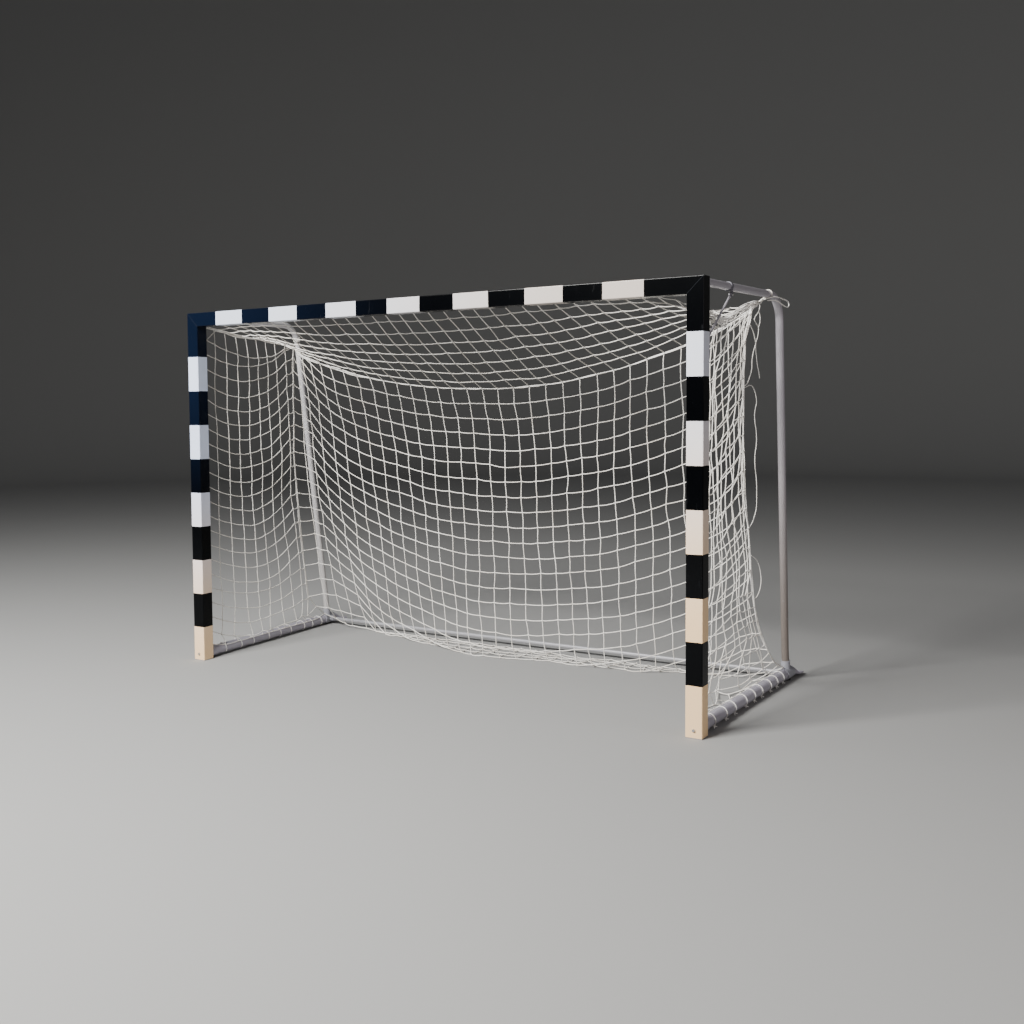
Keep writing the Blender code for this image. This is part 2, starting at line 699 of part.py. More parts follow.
def rubber_foot(word, side):
    """Pad under the tee, hollowed on top to the tee's round."""
    x = side * POST_X
    saddle = circumscribed(RAIL_RADIUS + GAP, ROUND_SIDES) + TEE_WALL + GAP
    pad = rod((x, BASE_DEPTH, 0), (x, BASE_DEPTH, PAD_HEIGHT), PAD_RADIUS, ROUND_SIDES)
    reach = Vector((0, TEE_LENGTH, 0))
    centre = Vector((x, BASE_DEPTH, RAIL_HEIGHT))
    bed = rod(centre - reach, centre + reach, circumscribed(saddle, ROUND_SIDES), ROUND_SIDES)
    link(word + "_rubber_foot", combine(pad, [bed], "DIFFERENCE"), RUBBER)


def clip_outline():
    """Moulded net clip: a T foot in the groove, a stem and an open hook."""
    foot_half = GROOVE_WIDTH / 2 - GAP
    stem = GROOVE_MOUTH / 2 - GAP
    lip = -GROOVE_LIP - GAP
    floor = -GROOVE_DEPTH + GAP
    outer = CLIP_BORE + CLIP_WALL
    centre = (0.0, CLIP_CENTRE - PROFILE)
    reach = math.asin(stem / outer)
    start = -math.pi / 2 + reach
    stop = math.pi / 2 - CLIP_OPENING / 2
    far = math.pi / 2 + CLIP_OPENING / 2
    end = math.pi * 1.5 - reach
    loop = [(-stem, lip), (-foot_half, lip), (-foot_half, floor), (foot_half, floor),
            (foot_half, lip), (stem, lip)]
    loop += arc(centre, outer, start, stop, 4)
    loop += arc(centre, CLIP_BORE, stop, far - 2 * math.pi, 10)
    loop += arc(centre, outer, far, end, 4)
    return loop


def net_clips():
    """Clips along the grooves of the crossbar and the posts."""
    half = CLIP_WIDTH / 2
    for word, side in SIDES:
        for number in range(BAR_CLIPS_A_SIDE):
            share = (BAR_CLIP_CELLS * number + HALF_CELL) / CELLS_ACROSS
            place = bar_line(share if side < 0 else 1 - share)
            lay = Matrix.Translation((place.x, PROFILE, place.z))
            turn = lay @ Matrix.Rotation(math.pi / 2, 4, "Y")
            mesh = plate([clip_outline()], -half, half, turn)
            link("%s_bar_clip_%d" % (word, number + 1), mesh, PLASTIC)
        for number in range(POST_CLIPS):
            place = post_line(side, (POST_CLIP_CELLS * number + HALF_CELL) / CELLS_HIGH)
            lay = Matrix.Translation((place.x, PROFILE, place.z))
            mesh = plate([clip_outline()], -half, half, lay)
            link("%s_post_clip_%d" % (word, number + 1), mesh, PLASTIC)


def of_side(side, left, right):
    """The net hangs a little differently at each end, so some values come in pairs."""
    return right if side > 0 else left


def gather(side):
    """Point under each bow's bend where the net is tied up."""
    drop = of_side(side, LEFT_GATHER_DROP, RIGHT_GATHER_DROP)
    depth = BOW_TOP_DEPTH - GATHER_SETBACK
    return Vector((side * (POST_X - GATHER_INSET), depth, ARM_HEIGHT - drop))


def lacing_radius():
    """Radius of the lacing's centre line, so that its chords clear the rail."""
    clear = RAIL_RADIUS + GAP + CORD / 2
    return clear / math.cos(math.pi / LACING_POINTS)


def net_foot_height():
    return RAIL_HEIGHT + lacing_radius() + CORD / 2 + GAP + CORD * 0.75


def net_rear_depth():
    return pole_point(1.0, TEE_POLE_REACH).y - BOW_RADIUS - TEE_WALL - CORD * 2


def post_line(side, t):
    foot = net_foot_height()
    top = of_side(side, LEFT_EDGE_HEIGHT, RIGHT_EDGE_HEIGHT)
    return Vector((side * POST_X, CLIP_CENTRE, foot + (top - foot) * t))


def rail_line(side, t):
    depth = CLIP_CENTRE + (net_rear_depth() - CLIP_CENTRE) * t
    return Vector((side * POST_X, depth, net_foot_height()))


def corner_bow(side, t):
    """How far the net's slack rear corner hangs towards the mouth."""
    swell = max(0.0, math.sin(math.pi * t ** CORNER_SLACK_POWER))
    return of_side(side, LEFT_CORNER_SLACK, RIGHT_CORNER_SLACK) * swell ** CORNER_SLACK_ROOT


def corner_line(side, t):
    place = rail_line(side, 1.0).lerp(gather(side), t)
    place.y -= corner_bow(side, t)
    place.x -= side * CORNER_INSET * math.sin(math.pi * t)
    return place


def side_top_sag(side, t):
    return of_side(side, LEFT_EDGE_SAG, RIGHT_EDGE_SAG) * 4 * t * (1 - t)


def side_top_line(side, t):
    place = post_line(side, 1.0).lerp(gather(side), t)
    place.z -= side_top_sag(side, t)
    return place


def bar_line(t):
    x = gather(1.0).x * (2 * t - 1)
    return Vector((x, CLIP_CENTRE, INSIDE_HEIGHT + PROFILE / 2))


def fold_line(t):
    """Slack edge between the top and the back of the net."""
    across = 2 * t - 1
    side = math.copysign(1.0, across)
    end = gather(side)
    power = of_side(side, LEFT_FOLD_POWER, RIGHT_FOLD_POWER)
    rise = (end.z - FOLD_MIDDLE_HEIGHT) * abs(across) ** power
    return Vector((abs(across) * end.x, end.y, FOLD_MIDDLE_HEIGHT + rise))


def hem_line(t):
    """Lower edge of the back net, which lies on the floor in front of the rear tube."""
    across = 2 * t - 1
    end = rail_line(math.copysign(1.0, across), 1.0)
    depth = HEM_MIDDLE_DEPTH + (end.y - HEM_MIDDLE_DEPTH) * abs(across) ** HEM_POWER
    height = HEM_HEIGHT + (end.z - HEM_HEIGHT) * abs(across) ** HEM_LIFT_POWER
    return Vector((across * POST_X, depth, height))


def top_side_line(side, t):
    place = bar_line((side + 1) / 2).lerp(gather(side), t)
    return place - Vector((0, 0, side_top_sag(side, t)))


def patch(low, high, first, last):
    """Surface between four edge curves, as a function of two shares from 0 to 1."""
    def place(u, v):
        ruled_v = low(u).lerp(high(u), v)
        ruled_u = first(v).lerp(last(v), u)
        corners = low(0.0).lerp(low(1.0), u).lerp(high(0.0).lerp(high(1.0), u), v)
        return ruled_v + ruled_u - corners
    return place


def net_surfaces():
    """The four panels of the net, each with its surface and its cells."""
    back = patch(hem_line, fold_line, lambda t: corner_line(-1.0, t),
                 lambda t: corner_line(1.0, t))
    top = patch(bar_line, fold_line, lambda t: top_side_line(-1.0, t),
                lambda t: top_side_line(1.0, t))

    def back_place(u, v):
        place = back(u, v)
        bow = corner_bow(-1.0, v) * (1 - u) + corner_bow(1.0, v) * u
        place.y += BACK_FULLNESS * bow * 4 * u * (1 - u)
        place.x *= 1 - NET_PLY / POST_X
        place.z -= NET_PLY * v
        return place

    def top_place(u, v):
        place = top(u, v)
        place.x *= 1 - NET_PLY / POST_X
        place.z -= TOP_SAG * math.sin(math.pi * u) * 4 * v * (1 - v)
        return place

    yield "top_net", top_place, CELLS_ACROSS, CELLS_DEEP
    yield "back_net", back_place, CELLS_ACROSS, CELLS_HIGH
    for word, side in SIDES:
        yield word + "_side_net", side_place(side), CELLS_DEEP, CELLS_HIGH


def side_place(side):
    panel = patch(lambda t: rail_line(side, t), lambda t: side_top_line(side, t),
                  lambda t: post_line(side, t), lambda t: corner_line(side, t))

    def place(u, v):
        spot = panel(u, v)
        spot.z -= PANEL_SAG * 4 * u * (1 - u) * math.sin(math.pi * v)
        return spot
    return place


def net_panel(name, surface, across, high):
    """Lay a grid on the surface and turn its edges into cords."""
    work = bmesh.new()
    bmesh.ops.create_grid(work, x_segments=across, y_segments=high, size=1.0)
    for vertex in work.verts:
        vertex.co = surface((1 + vertex.co.x) / 2, (1 + vertex.co.y) / 2)
    mesh = bpy.data.meshes.new(name)
    work.to_mesh(mesh)
    work.free()
    sheet = bpy.data.objects.new(name, mesh)
    cords = sheet.modifiers.new("cords", "WIREFRAME")
    cords.thickness = CORD
    cords.use_boundary = True
    cords.use_replace = True
    cords.use_even_offset = True
    link(name, to_mesh(sheet), NET_CORD)


def lacing(word, side):
    """Cord wound round the floor rail, once for each mesh of the side net."""
    start = PROFILE + GAP + SOCKET_FLOOR + SOCKET_DEPTH + LACING_END
    end = BASE_DEPTH - TEE_LENGTH / 2 - LACING_END
    radius = lacing_radius()
    count = LACING_LOOPS * LACING_POINTS
    points = []
    for number in range(count + 1):
        angle = math.pi / 2 + side * 2 * math.pi * number / LACING_POINTS
        depth = start + (end - start) * number / count
        points.append(Vector((side * POST_X + radius * math.cos(angle), depth,
                              RAIL_HEIGHT + radius * math.sin(angle))))
    least = min((a - b).length for a, b in zip(points, points[LACING_POINTS:]))
    print(word, "lacing: least gap between neighbouring loops", round(least - CORD, 4), "m")
    link(word + "_lacing", tube(points, CORD / 2, 1), NET_CORD)


def bow_tie(word, side):
    """Cord wound round the bow's arm that hangs up the gathered corner of the net."""
    radius = (BOW_RADIUS + GAP + CORD / 2) / math.cos(math.pi / LACING_POINTS)
    knot = gather(side) + Vector((0, -CORD * 2, CORD * 1.5))
    points = [knot]
    for number in range(int(TIE_TURNS * LACING_POINTS) + 1):
        turn = number / LACING_POINTS
        angle = math.pi * (1 - 2 * turn)
        points.append(Vector((side * (POST_X + radius * math.cos(angle)),
                              BOW_TOP_DEPTH - TIE_SETBACK - TIE_PITCH * turn,
                              ARM_HEIGHT + radius * math.sin(angle))))
    points.insert(1, knot.lerp(points[1], 0.5) - Vector((0, 0, CORD)))
    link(word + "_bow_tie", tube(points, CORD / 2, 1), NET_CORD)


def build():
    mouth_frame()
    for word, side in SIDES:
        corner_joint(word, side)
        foot_cap(word, side)
        net_bow(word, side)
        arm_flange(word, side)
        rail_socket(word, side)
        floor_rail(word, side)
        corner_tee(word, side)
        rubber_foot(word, side)
        lacing(word, side)
        bow_tie(word, side)
    rear_tube()
    brace = SIDES[-1]
    strut_clamp(*brace)
    strut_lug(*brace)
    strut(*brace)
    net_clips()
    for name, surface, across, high in net_surfaces():
        net_panel(name, surface, across, high)


build()
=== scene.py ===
# %% [markdown]
# # A handball goal, dressed for its picture
#
# The packed model brings in the metal frame: posts, crossbar, net bows, rails, rear tube, brace,
# screws and clips. They are finished here with paint and metal, and the soft parts, which the model
# holds only in a plain form, are made anew as real knotted cord.

# %% Load the frame
import math

import bpy
import numpy as np
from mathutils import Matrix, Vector


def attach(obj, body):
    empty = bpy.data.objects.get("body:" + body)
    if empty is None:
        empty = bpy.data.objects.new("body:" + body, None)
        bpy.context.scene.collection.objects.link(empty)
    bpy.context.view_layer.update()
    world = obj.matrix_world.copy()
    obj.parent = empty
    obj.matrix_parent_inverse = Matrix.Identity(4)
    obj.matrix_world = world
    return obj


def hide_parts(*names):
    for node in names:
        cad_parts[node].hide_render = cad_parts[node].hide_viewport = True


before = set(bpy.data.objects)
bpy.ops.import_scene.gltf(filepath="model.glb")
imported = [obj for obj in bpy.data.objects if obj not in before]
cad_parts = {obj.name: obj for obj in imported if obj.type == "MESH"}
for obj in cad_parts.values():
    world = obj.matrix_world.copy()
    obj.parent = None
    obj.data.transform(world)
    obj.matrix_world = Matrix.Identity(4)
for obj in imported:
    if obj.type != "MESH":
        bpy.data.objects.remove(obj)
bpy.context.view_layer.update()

# %% [markdown]
# ## The camera
#
# The goal is seen from the right, half a metre below its crossbar, from five metres off its near
# post. The uprights stand straight in the picture, so the camera looks almost level, and the picture
# is shifted a little instead of tilting the camera. A longer lens from further away would make the
# left post as tall as the right one, which it isn't.

# %% Camera
camera_data = bpy.data.cameras.new("goal_camera")
camera_data.sensor_width = 36.0
camera_data.lens = 39.37
camera_data.shift_x = 0.0879
camera_data.shift_y = -0.0395
camera = bpy.data.objects.new("goal_camera", camera_data)
camera.location = (3.2737, -5.5734, 1.5142)
camera.rotation_euler = (1.51269, 0.01062, 0.58310)
bpy.context.collection.objects.link(camera)
bpy.context.scene.camera = camera
print("camera distance:", round(camera.location.length, 2), "m")

# %% [markdown]
# ## Floor and light
#
# A pale round floor runs up into a wall far off, in one sweep without a line, as in a photo
# studio, so the goal stands on the same ground from whichever side it is looked at. One big soft
# light stands high in front, above what the bars mirror to the camera, so the white bands are the
# brightest and the dark ones stay dark. The sides of the posts take a weak light from the right, and
# another on the left opens the shadows. Small hard lamps would draw every cord of the net twice,
# once as its shadow.

# %% Floor
FLOOR_RADIUS = 24
WALL_HEIGHT = 16
SWEEP_RADIUS = 6.0

bpy.ops.object.select_all(action="DESELECT")
bpy.ops.mesh.primitive_circle_add(vertices=96, radius=FLOOR_RADIUS, fill_type="NGON")
floor = bpy.context.active_object
floor.name = "pale_floor"
bpy.ops.object.mode_set(mode="EDIT")
bpy.ops.mesh.select_mode(type="EDGE")
bpy.ops.mesh.select_all(action="SELECT")
bpy.ops.mesh.region_to_loop()
bpy.ops.mesh.extrude_edges_move(TRANSFORM_OT_translate={"value": (0, 0, WALL_HEIGHT)})
bpy.ops.object.mode_set(mode="OBJECT")
sweep = floor.modifiers.new("sweep", "BEVEL")
sweep.width, sweep.segments = SWEEP_RADIUS, 16
sweep.limit_method, sweep.angle_limit = "ANGLE", math.radians(40)
bpy.ops.object.modifier_apply(modifier="sweep")
bpy.ops.object.shade_smooth()
pale = bpy.data.materials.new("pale_floor")
pale.use_nodes = True
pale_look = pale.node_tree.nodes["Principled BSDF"].inputs
pale_look["Base Color"].default_value = (0.29, 0.29, 0.285, 1)
pale_look["Roughness"].default_value = 0.9
floor.data.materials.append(pale)
print("floor faces:", len(floor.data.polygons))

# %% Lights
world = bpy.data.worlds.new("soft_world")
world.use_nodes = True
sky_look = world.node_tree.nodes["Background"].inputs
sky_look["Color"].default_value = (0.48, 0.49, 0.52, 1)
sky_look["Strength"].default_value = 0.17
bpy.context.scene.world = world


def soft_light(name, place, target, size, power, colour):
    data = bpy.data.lights.new(name, "AREA")
    data.shape = "RECTANGLE"
    data.size, data.size_y = size
    data.energy = power
    data.color = colour
    light = bpy.data.objects.new(name, data)
    light.location = place
    away = Vector(place) - Vector(target)
    light.rotation_euler = away.to_track_quat("Z", "Y").to_euler()
    bpy.context.collection.objects.link(light)


soft_light("key_light", (-1.3, -6.2, 5.2), (0, 0.2, 1.0), (3.2, 1.8), 1600, (1.0, 0.985, 0.96))
soft_light("side_light", (6.6, -1.4, 3.0), (0, 0.0, 1.0), (2.5, 2.5), 65, (1.0, 0.93, 0.94))
soft_light("fill_light", (-5.0, -3.0, 6.5), (-0.5, 0.2, 1.0), (3.0, 3.0), 90, (0.90, 0.94, 1.0))

# %% [markdown]
# ## Shader maths that reads like maths
#
# Stripes, dirt and scratches are small sums of coordinates and noise. Wiring each Math node by hand
# takes many lines, so one small class wraps a socket and gives it the signs + - * / ** and
# comparisons.

# %% Sums of sockets
class Wire:
    def __init__(self, finish, socket):
        self.finish = finish
        self.socket = socket

    def maths(self, operation, other, turned=False):
        pair = [other, self] if turned else [self, other]
        return self.finish.node("Math", {"operation": operation}, dict(enumerate(pair)))

    def __add__(self, other):
        return self.maths("ADD", other)

    __radd__ = __add__

    def __sub__(self, other):
        return self.maths("SUBTRACT", other)

    def __rsub__(self, other):
        return self.maths("SUBTRACT", other, True)

    def __mul__(self, other):
        return self.maths("MULTIPLY", other)

    __rmul__ = __mul__

    def __truediv__(self, other):
        return self.maths("DIVIDE", other)

    def __lt__(self, other):
        return self.maths("LESS_THAN", other)

    def __gt__(self, other):
        return self.maths("GREATER_THAN", other)

    def __pow__(self, other):
        return self.maths("POWER", other)

    def __abs__(self):
        return self.finish.node("Math", {"operation": "ABSOLUTE"}, {0: self})


print("signs ready:", [sign for sign in vars(Wire) if sign.startswith("__r")])

# %% [markdown]
# A finish is one material with one Principled shader. Every other node comes from its method `node`,
# which takes the node's type, its settings and the values or links of its sockets. The methods below
# that are the few nodes which the finishes of the goal use again and again.

# %% A finish
class Finish:
    def __init__(self, name, **looks):
        self.material = bpy.data.materials.new(name)
        self.material.use_nodes = True
        self.tree = self.material.node_tree
        self.tree.nodes.clear()
        self.shader = self.tree.nodes.new("ShaderNodeBsdfPrincipled")
        output = self.tree.nodes.new("ShaderNodeOutputMaterial")
        self.tree.links.new(self.shader.outputs[0], output.inputs[0])
        self.set(**looks)

    def node(self, kind, settings=None, values=None, output=0):
        made = self.tree.nodes.new("ShaderNode" + kind)
        for key, value in (settings or {}).items():
            setattr(made, key, value)
        for key, value in (values or {}).items():
            self.join(made.inputs[key], value)
        return Wire(self, made.outputs[output])

    def join(self, socket, value):
        if isinstance(value, Wire):
            self.tree.links.new(value.socket, socket)
        elif isinstance(value, tuple) and len(value) == 3 and socket.type == "RGBA":
            socket.default_value = (*value, 1)
        else:
            socket.default_value = value

    def set(self, **looks):
        for key, value in looks.items():
            self.join(self.shader.inputs[key.replace("_", " ")], value)

    def place(self, output="Object"):
        return self.node("TexCoord", output=output)

    def axes(self, output="Object"):
        split = self.tree.nodes.new("ShaderNodeSeparateXYZ")
        self.tree.links.new(self.place(output).socket, split.inputs[0])
        return [Wire(self, out) for out in split.outputs]

    def noise(self, scale, detail=3.0, stretch=(1, 1, 1), roughness=0.5):
        where = self.node("Mapping", {}, {"Vector": self.place(), "Scale": stretch})
        return self.node("TexNoise", {}, {"Vector": where, "Scale": scale, "Detail": detail,
                                          "Roughness": roughness})

    def fade(self, value, low, high):
        return self.node("MapRange", {"interpolation_type": "SMOOTHSTEP"},
                         {"Value": value, "From Min": low, "From Max": high})

    def mix(self, share, first, second):
        return self.node("Mix", {"data_type": "RGBA"}, {0: share, 6: first, 7: second}, 2)

    def bump(self, height, strength, distance):
        self.set(Normal=self.node("Bump", {}, {"Height": height, "Strength": strength,
                                               "Distance": distance}))


print("methods of a finish:", [name for name in vars(Finish) if not name.startswith("_")])

# %% [markdown]
# ## Striped paint
#
# Posts and crossbar carry bands of 200 mm, dark and white by turns, and the dark corner takes
# 280 mm of each. Separate painted solids would show seams that the real bar doesn't have, because
# the bands are sprayed or taped on one extrusion. So the band is worked out from the place on the
# bar: the distance along it, counted in bands, is even for white and odd for dark. The white holds
# painted light: cool on the left and high up, warm bounce from the floor towards the foot, and on
# the crossbar a darker white as painted shade. The black turns to navy at the upper left, a painted
# reflection.

# %% Striped paint
BAND_EDGE = 0.012
CORNER_SEAM = -0.5
POST_BANDS, BAR_BANDS = 9, 13
# Whites with painted light: cool on the left, warm on the right; the crossbar's are darker, as painted
# shade.
POST_WHITE = ((0.62, 0.69, 0.86), (0.70, 0.73, 0.81))
BAR_WHITE_SHADED = ((0.52, 0.57, 0.66), (0.52, 0.46, 0.41))
# Painted warm light bounced from the floor, mixed into the white towards the foot.
FOOT_BOUNCE_WHITE = (0.92, 0.64, 0.36)
DIRT = (0.42, 0.35, 0.27)
BLACK = (0.0006, 0.0008, 0.0012)
# Painted reflection that turns the black navy at the upper left.
NAVY_REFLECTION = (0.0026, 0.0054, 0.0140)
WORN_BLACK = (0.016, 0.018, 0.022)
SEAM_GREY = (0.045, 0.05, 0.06)


def striped_paint(name, along, first, step, last, corner_sides, white_left_right_lit, bounce_from=1.8, foot_band=0):
    """Bands along one axis: where the first one starts, its length, and how many there are."""
    paint = Finish(name, Coat_Weight=0.03, Coat_Roughness=0.12, IOR=1.33, Specular_IOR_Level=0.2)
    place = paint.axes()
    wander = (paint.noise(60) - 0.5) * BAND_EDGE
    count = (place[along] - first) / step + wander
    half = paint.node("Math", {"operation": "FRACT"}, {0: count * 0.5})
    white = (half < 0.5) * (count > 0) * (count < last) + (count > last) * foot_band
    cloud = paint.noise(3.0, 5, (1, 1, 0.6))
    speck = paint.fade(paint.noise(140, 2), 0.66, 0.74)
    scuff = paint.fade(paint.noise(9, 6, (3, 3, 0.5), 0.7), 0.60, 0.74)
    foot = 1 - paint.fade(place[2], 0.0, 0.9)
    dirt = scuff * 0.16 + foot * 0.14 * cloud + speck * 0.25
    # Painted light across the bar: cooler white on the left, warmer on the right.
    across = paint.mix(paint.fade(place[0], -1.4, 1.2), *white_left_right_lit)
    # Painted warm floor bounce, taking over the white towards the foot.
    floor_bounce_white = paint.mix(paint.fade(place[2], bounce_from, bounce_from - 1.35), across, FOOT_BOUNCE_WHITE)
    pale = paint.mix(dirt, floor_bounce_white, DIRT)
    # Painted reflection: navy on the black towards the upper left.
    navy_reflection = (1 - paint.fade(place[0], -1.7, 0.2)) * paint.fade(place[2], 0.8, 1.7)
    black = paint.mix(navy_reflection, BLACK, NAVY_REFLECTION)
    dark = paint.mix(scuff * 0.3 + speck * 0.2, black, WORN_BLACK)
    colour = paint.mix(white, dark, pale)
    for side in corner_sides:
        gap = abs(place[0] * side - place[2] - CORNER_SEAM)
        line = (1 - paint.fade(gap, 0.0004, 0.0018)) * 0.5
        colour = paint.mix(line, colour, SEAM_GREY)
    orange_peel = paint.noise(380, 2)
    paint.set(Base_Color=colour, Roughness=0.16 + scuff * 0.25 + foot * 0.10 + cloud * 0.06)
    paint.bump(orange_peel + speck * 0.5, 0.10, 0.0004)
    return paint.material


left_paint = striped_paint("striped_paint_left", 2, 1.821, -0.2023, POST_BANDS, (-1,), POST_WHITE,
                           bounce_from=1.25, foot_band=1)
right_paint = striped_paint("striped_paint_right", 2, 1.834, -0.1991, POST_BANDS, (1,), POST_WHITE,
                            bounce_from=1.75, foot_band=1)
bar_paint = striped_paint("striped_paint_bar", 0, -1.3492, 0.2037, BAR_BANDS, (-1, 1), BAR_WHITE_SHADED)
print("bands on a post:", POST_BANDS, "on the crossbar:", BAR_BANDS)

# %% [markdown]
# ## Metal, plastic and rubber
#
# The bows, rails and tees are powder coated in a satin grey that goes mauve on the rails. The rear
# tube, and the right bow with the struts and arm flanges, take darker copies of the tube finish, as
# painted shade. Satin metal looks dead with one roughness, so a stretched noise gives the draw lines
# of the tube, and a coarse one the marks of handling. Tubes have a second colour for their low end,
# a painted shade that darkens them near the floor.

# %% Finishes of the frame
def satin(name, colour, worn, roughness, scale, metal=0.0, grain=(1, 1, 1), coat=0.0, low=None):
    finish = Finish(name, Coat_Weight=coat, Coat_Roughness=0.2)
    cloud = finish.noise(4.5, 4)
    lines = finish.noise(scale, 3, grain)
    rub = finish.fade(finish.noise(13, 7, (1, 1, 1), 0.72), 0.60, 0.72)
    shade = finish.mix(cloud * 0.5, colour, tuple(c * 0.82 for c in colour))
    # Painted shade: the colour goes over to the low one towards the floor.
    if low:
        shade = finish.mix(finish.fade(finish.axes()[2], 1.7, 0.2), shade, low)
    finish.set(Base_Color=finish.mix(rub * 0.7, shade, worn), Metallic=rub * 0.25 + metal,
               Roughness=roughness + lines * 0.10 + rub * 0.12)
    finish.bump(lines, 0.12, 0.0003)
    return finish.material


SATIN_LOOKS = {
    "silver_tube": dict(colour=(0.62, 0.61, 0.63), worn=(0.46, 0.46, 0.48), roughness=0.32, metal=0.15,
                        grain=(1, 1, 6), scale=90, coat=0.2, low=(0.54, 0.52, 0.51)),
    # A darker copy of the silver tube for the right bow, struts and flanges: painted shade, darkest at the
    # floor.
    "tube_in_painted_shade": dict(colour=(0.48, 0.46, 0.50), worn=(0.33, 0.32, 0.33), roughness=0.30, metal=0.25,
                      grain=(1, 1, 6), scale=90, coat=0.25, low=(0.21, 0.18, 0.16)),
    "clamp_grey": dict(colour=(0.15, 0.145, 0.17), worn=(0.22, 0.22, 0.23), roughness=0.42, metal=0.1,
                       scale=200),
    "rail_grey": dict(colour=(0.40, 0.38, 0.44), worn=(0.58, 0.58, 0.60), roughness=0.34,
                      grain=(8, 1, 8), scale=60, coat=0.2),
    # The rear tube is darkened as painted shade.
    "rear_silver_in_shade": dict(colour=(0.42, 0.42, 0.44), worn=(0.33, 0.32, 0.32), roughness=0.28, metal=0.25,
                        grain=(1, 8, 8), scale=60, coat=0.2),
    "steel": dict(colour=(0.52, 0.52, 0.53), worn=(0.30, 0.26, 0.22), roughness=0.30, metal=0.85,
                  scale=220),
    "casting": dict(colour=(0.36, 0.36, 0.40), worn=(0.50, 0.50, 0.52), roughness=0.42, metal=0.1,
                    scale=260),
    "rubber": dict(colour=(0.035, 0.034, 0.033), worn=(0.10, 0.095, 0.09), roughness=0.62, scale=300),
    "cap_plastic": dict(colour=(0.24, 0.23, 0.25), worn=(0.34, 0.33, 0.32), roughness=0.45, scale=200),
    "clip_plastic": dict(colour=(0.74, 0.73, 0.70), worn=(0.50, 0.46, 0.40), roughness=0.42, scale=200),
}
finishes = {name: satin(name, **looks) for name, looks in SATIN_LOOKS.items()}
print("finishes:", sorted(finishes))

# %% [markdown]
# The nodes of the frame keep their shape and only take these finishes. The table below goes by the
# words in their names.

# %% Dress the frame
NODE_FINISH = (
    ("rear_tube", "rear_silver_in_shade"),
    ("right_net_bow", "tube_in_painted_shade"),
    ("net_bow", "silver_tube"),
    ("arm_flange", "tube_in_painted_shade"),
    ("strut_clamp", "clamp_grey"),
    ("strut_lug", "silver_tube"),
    ("screw", "steel"),
    ("bolt", "steel"),
    ("strut", "tube_in_painted_shade"),
    ("rail_socket", "rail_grey"),
    ("floor_rail", "rail_grey"),
    ("corner_tee", "casting"),
    ("corner_joint", "casting"),
    ("foot_cap", "cap_plastic"),
    ("rubber_foot", "rubber"),
    ("clip", "clip_plastic"),
)
bars = {"left_post": left_paint, "right_post": right_paint, "crossbar": bar_paint}
dressed = 0
for name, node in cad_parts.items():
    material = bars.get(name)
    for word, finish in NODE_FINISH:
        if material is None and word in name:
            material = finishes[finish]
    if material is not None:
        node.data.materials.clear()
        node.data.materials.append(material)
        dressed += 1
print("nodes dressed:", dressed)

# %% [markdown]
# ## Cord
#
# Every soft part of the goal is cord: the net, the ropes at its edges, the lacing and the ties. A
# curve with a bevel is the quick way to draw a cord, but a net of curves has no place for its knots
# and gets heavy. So each cord is a thin tube of mesh, swept along its points.
#
# Two helpers come first: one rounds a line through a few places, and the other gives the directions
# along and across it, turned as little as possible from point to point, so the tube never twists.

# %% Lines
def smooth_line(points, gap):
    points = np.asarray(points, float)
    ends = np.vstack([2 * points[0] - points[1], points, 2 * points[-1] - points[-2]])
    out = []
    for n in range(len(points) - 1):
        a, b, c, d = ends[n:n + 4]
        pieces = max(1, int(round(np.linalg.norm(c - b) / gap)))
        t = (np.arange(pieces) / pieces)[:, None]
        out.append(0.5 * (2 * b + (c - a) * t + (2 * a - 5 * b + 4 * c - d) * t ** 2
                          + (3 * b - a - 3 * c + d) * t ** 3))
    out.append(points[-1:])
    return np.vstack(out)


def frames_along(points):
    tangent = np.gradient(points, axis=0)
    tangent /= np.linalg.norm(tangent, axis=1)[:, None] + 1e-12
    first = np.cross(tangent[0], (0.31, 0.52, 0.79))
    normal = [first / np.linalg.norm(first)]
    for n in range(1, len(points)):
        turned = normal[-1] - tangent[n] * np.dot(normal[-1], tangent[n])
        normal.append(turned / (np.linalg.norm(turned) + 1e-12))
    normal = np.array(normal)
    return tangent, normal, np.cross(tangent, normal)


print("points of a rounded corner:", len(smooth_line([(0, 0, 0), (1, 0, 0), (1, 1, 0)], 0.1)))

# %% [markdown]
# All cords of one panel or bundle are gathered in one mesh. Its UV map carries the lay of the
# strands: across it runs once round the cord, and along it runs in metres.

